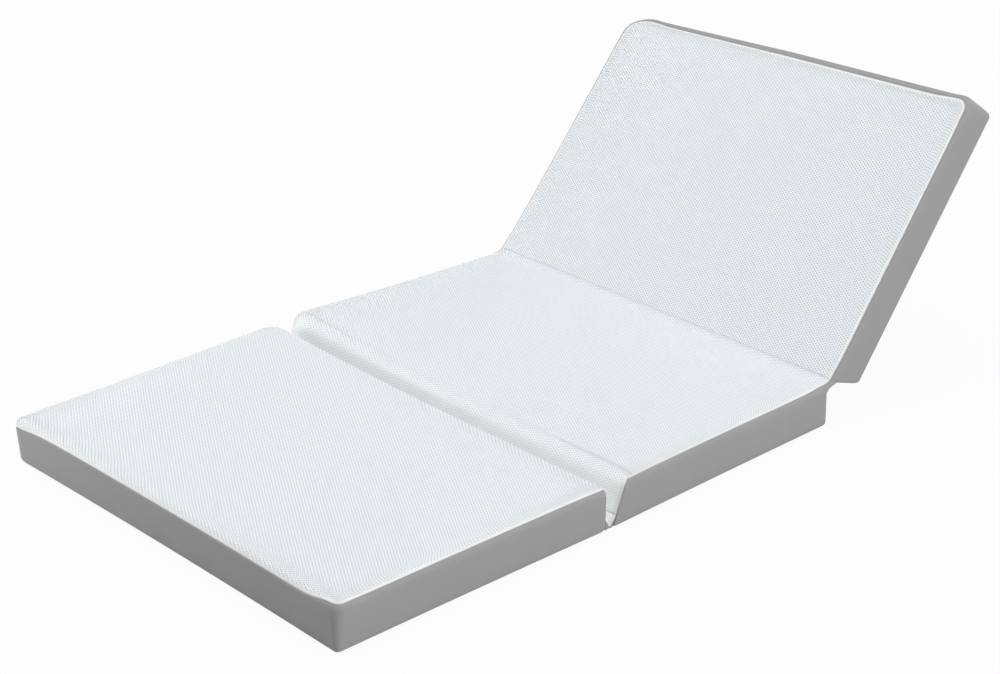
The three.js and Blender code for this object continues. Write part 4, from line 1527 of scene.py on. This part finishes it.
def bevelled_metal(node):
    """A CAD piece's own shape with its edges broken, in place of the sharp one."""
    source = frame["nodes"][node]
    source = bpy.data.objects[source] if isinstance(source, str) else source
    obj = add_object(f"{node}_casting", source.data.copy())
    obj.matrix_world = source.matrix_world
    bm = bmesh.new()
    bm.from_mesh(obj.data)
    bmesh.ops.remove_doubles(bm, verts=bm.verts, dist=METAL_WELD)
    bmesh.ops.dissolve_limit(bm, angle_limit=METAL_FLAT_ANGLE, verts=bm.verts, edges=bm.edges)
    bm.to_mesh(obj.data)
    bm.free()
    edges = obj.modifiers.new("broken edges", "BEVEL")
    edges.width = METAL_BEVEL
    edges.segments = 2
    edges.limit_method = "ANGLE"
    edges.angle_limit = METAL_SHARP_ANGLE
    for polygon in obj.data.polygons:
        polygon.use_smooth = False
    obj.data.materials.clear()
    obj.data.materials.append(MATERIALS["zip_metal"])
    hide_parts(node)
    return obj


def zip_metal(panel):
    for part in ("upper_end_stop", "lower_end_stop", "box_stop"):
        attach(bevelled_metal(f"{panel.name}_zip_{part}"), panel.body)
    for part in ("slider", "pull"):
        node = f"{panel.name}_zip_{part}"
        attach(bevelled_metal(node), node)


# All pieces

for form in FORMS.values():
    panel = form.panel
    for first, last in border_runs(form):
        part = f"{first}_" if panel.name == "middle" else ""
        border(form, f"{panel.name}_{part}side_cloth", first, last, f"{panel.name}_{part}border")
    underside(form)
    foam_block(form)
    panel_seams(form)
    topstitch(panel)
    zip_tapes(panel)
    zip_coil(panel)
    zip_metal(panel)
front_top(FORMS["front"])
front_top_seam(FORMS["front"])
crease = middle_and_rear_top(FORMS["middle"], FORMS["rear"])
long_top_seam(FORMS["middle"], FORMS["rear"], crease)
lower_web(FORMS["front"], FORMS["middle"])
lower_hinge_bar()
crease_lining(PANELS["middle"], PANELS["rear"])


# Stage

def floor_material():
    """A pale floor that shows white to the camera and is lit like any other to the rest."""
    nodes = new_nodes("pale_floor")
    nodes.surface(base_color=FLOOR_GREY, roughness=1.0, specular_ior_level=0.0)
    glow = nodes.add("ShaderNodeEmission", {"Color": WHITE, "Strength": 1.0})
    seen = nodes.seen_by("Is Camera Ray", "Is Glossy Ray", "Is Transmission Ray")
    nodes.show(nodes.math("MULTIPLY", seen, FLOOR_GLOW_SHARE), nodes.shader, glow, "Material Output")
    return nodes.owner


def make_floor():
    corners = [(x * FLOOR_REACH, y * FLOOR_REACH, 0) for x, y in ((-1, -1), (1, -1), (1, 1), (-1, 1))]
    floor = new_mesh("floor", corners, [(0, 1, 2, 3)])
    floor.data.materials.append(floor_material())


def area_light(name, place, target, size, power):
    data = bpy.data.lights.new(name, "AREA")
    data.shape = "RECTANGLE"
    data.size, data.size_y = size
    data.energy = power
    data.color = LAMP_COLOUR
    light = add_object(name, data)
    light.location = place
    light.rotation_euler = (Vector(target) - Vector(place)).to_track_quat("-Z", "Y").to_euler()
    light.visible_camera = False


def make_world():
    """A dim world that shows white to the camera."""
    world = bpy.data.worlds.new("studio")
    bpy.context.scene.world = world
    nodes = Nodes(world)
    dim = nodes.tree.nodes["Background"]
    nodes.put(WORLD_COLOUR, dim.inputs["Color"])
    nodes.put(WORLD_STRENGTH, dim.inputs["Strength"])
    shown = nodes.add("ShaderNodeBackground", {"Color": WHITE, "Strength": 1.0})
    nodes.show(nodes.seen_by("Is Camera Ray", "Is Glossy Ray"), dim, shown, "World Output")


make_floor()
make_world()
for name, lamp in LAMPS.items():
    area_light(name, *lamp)
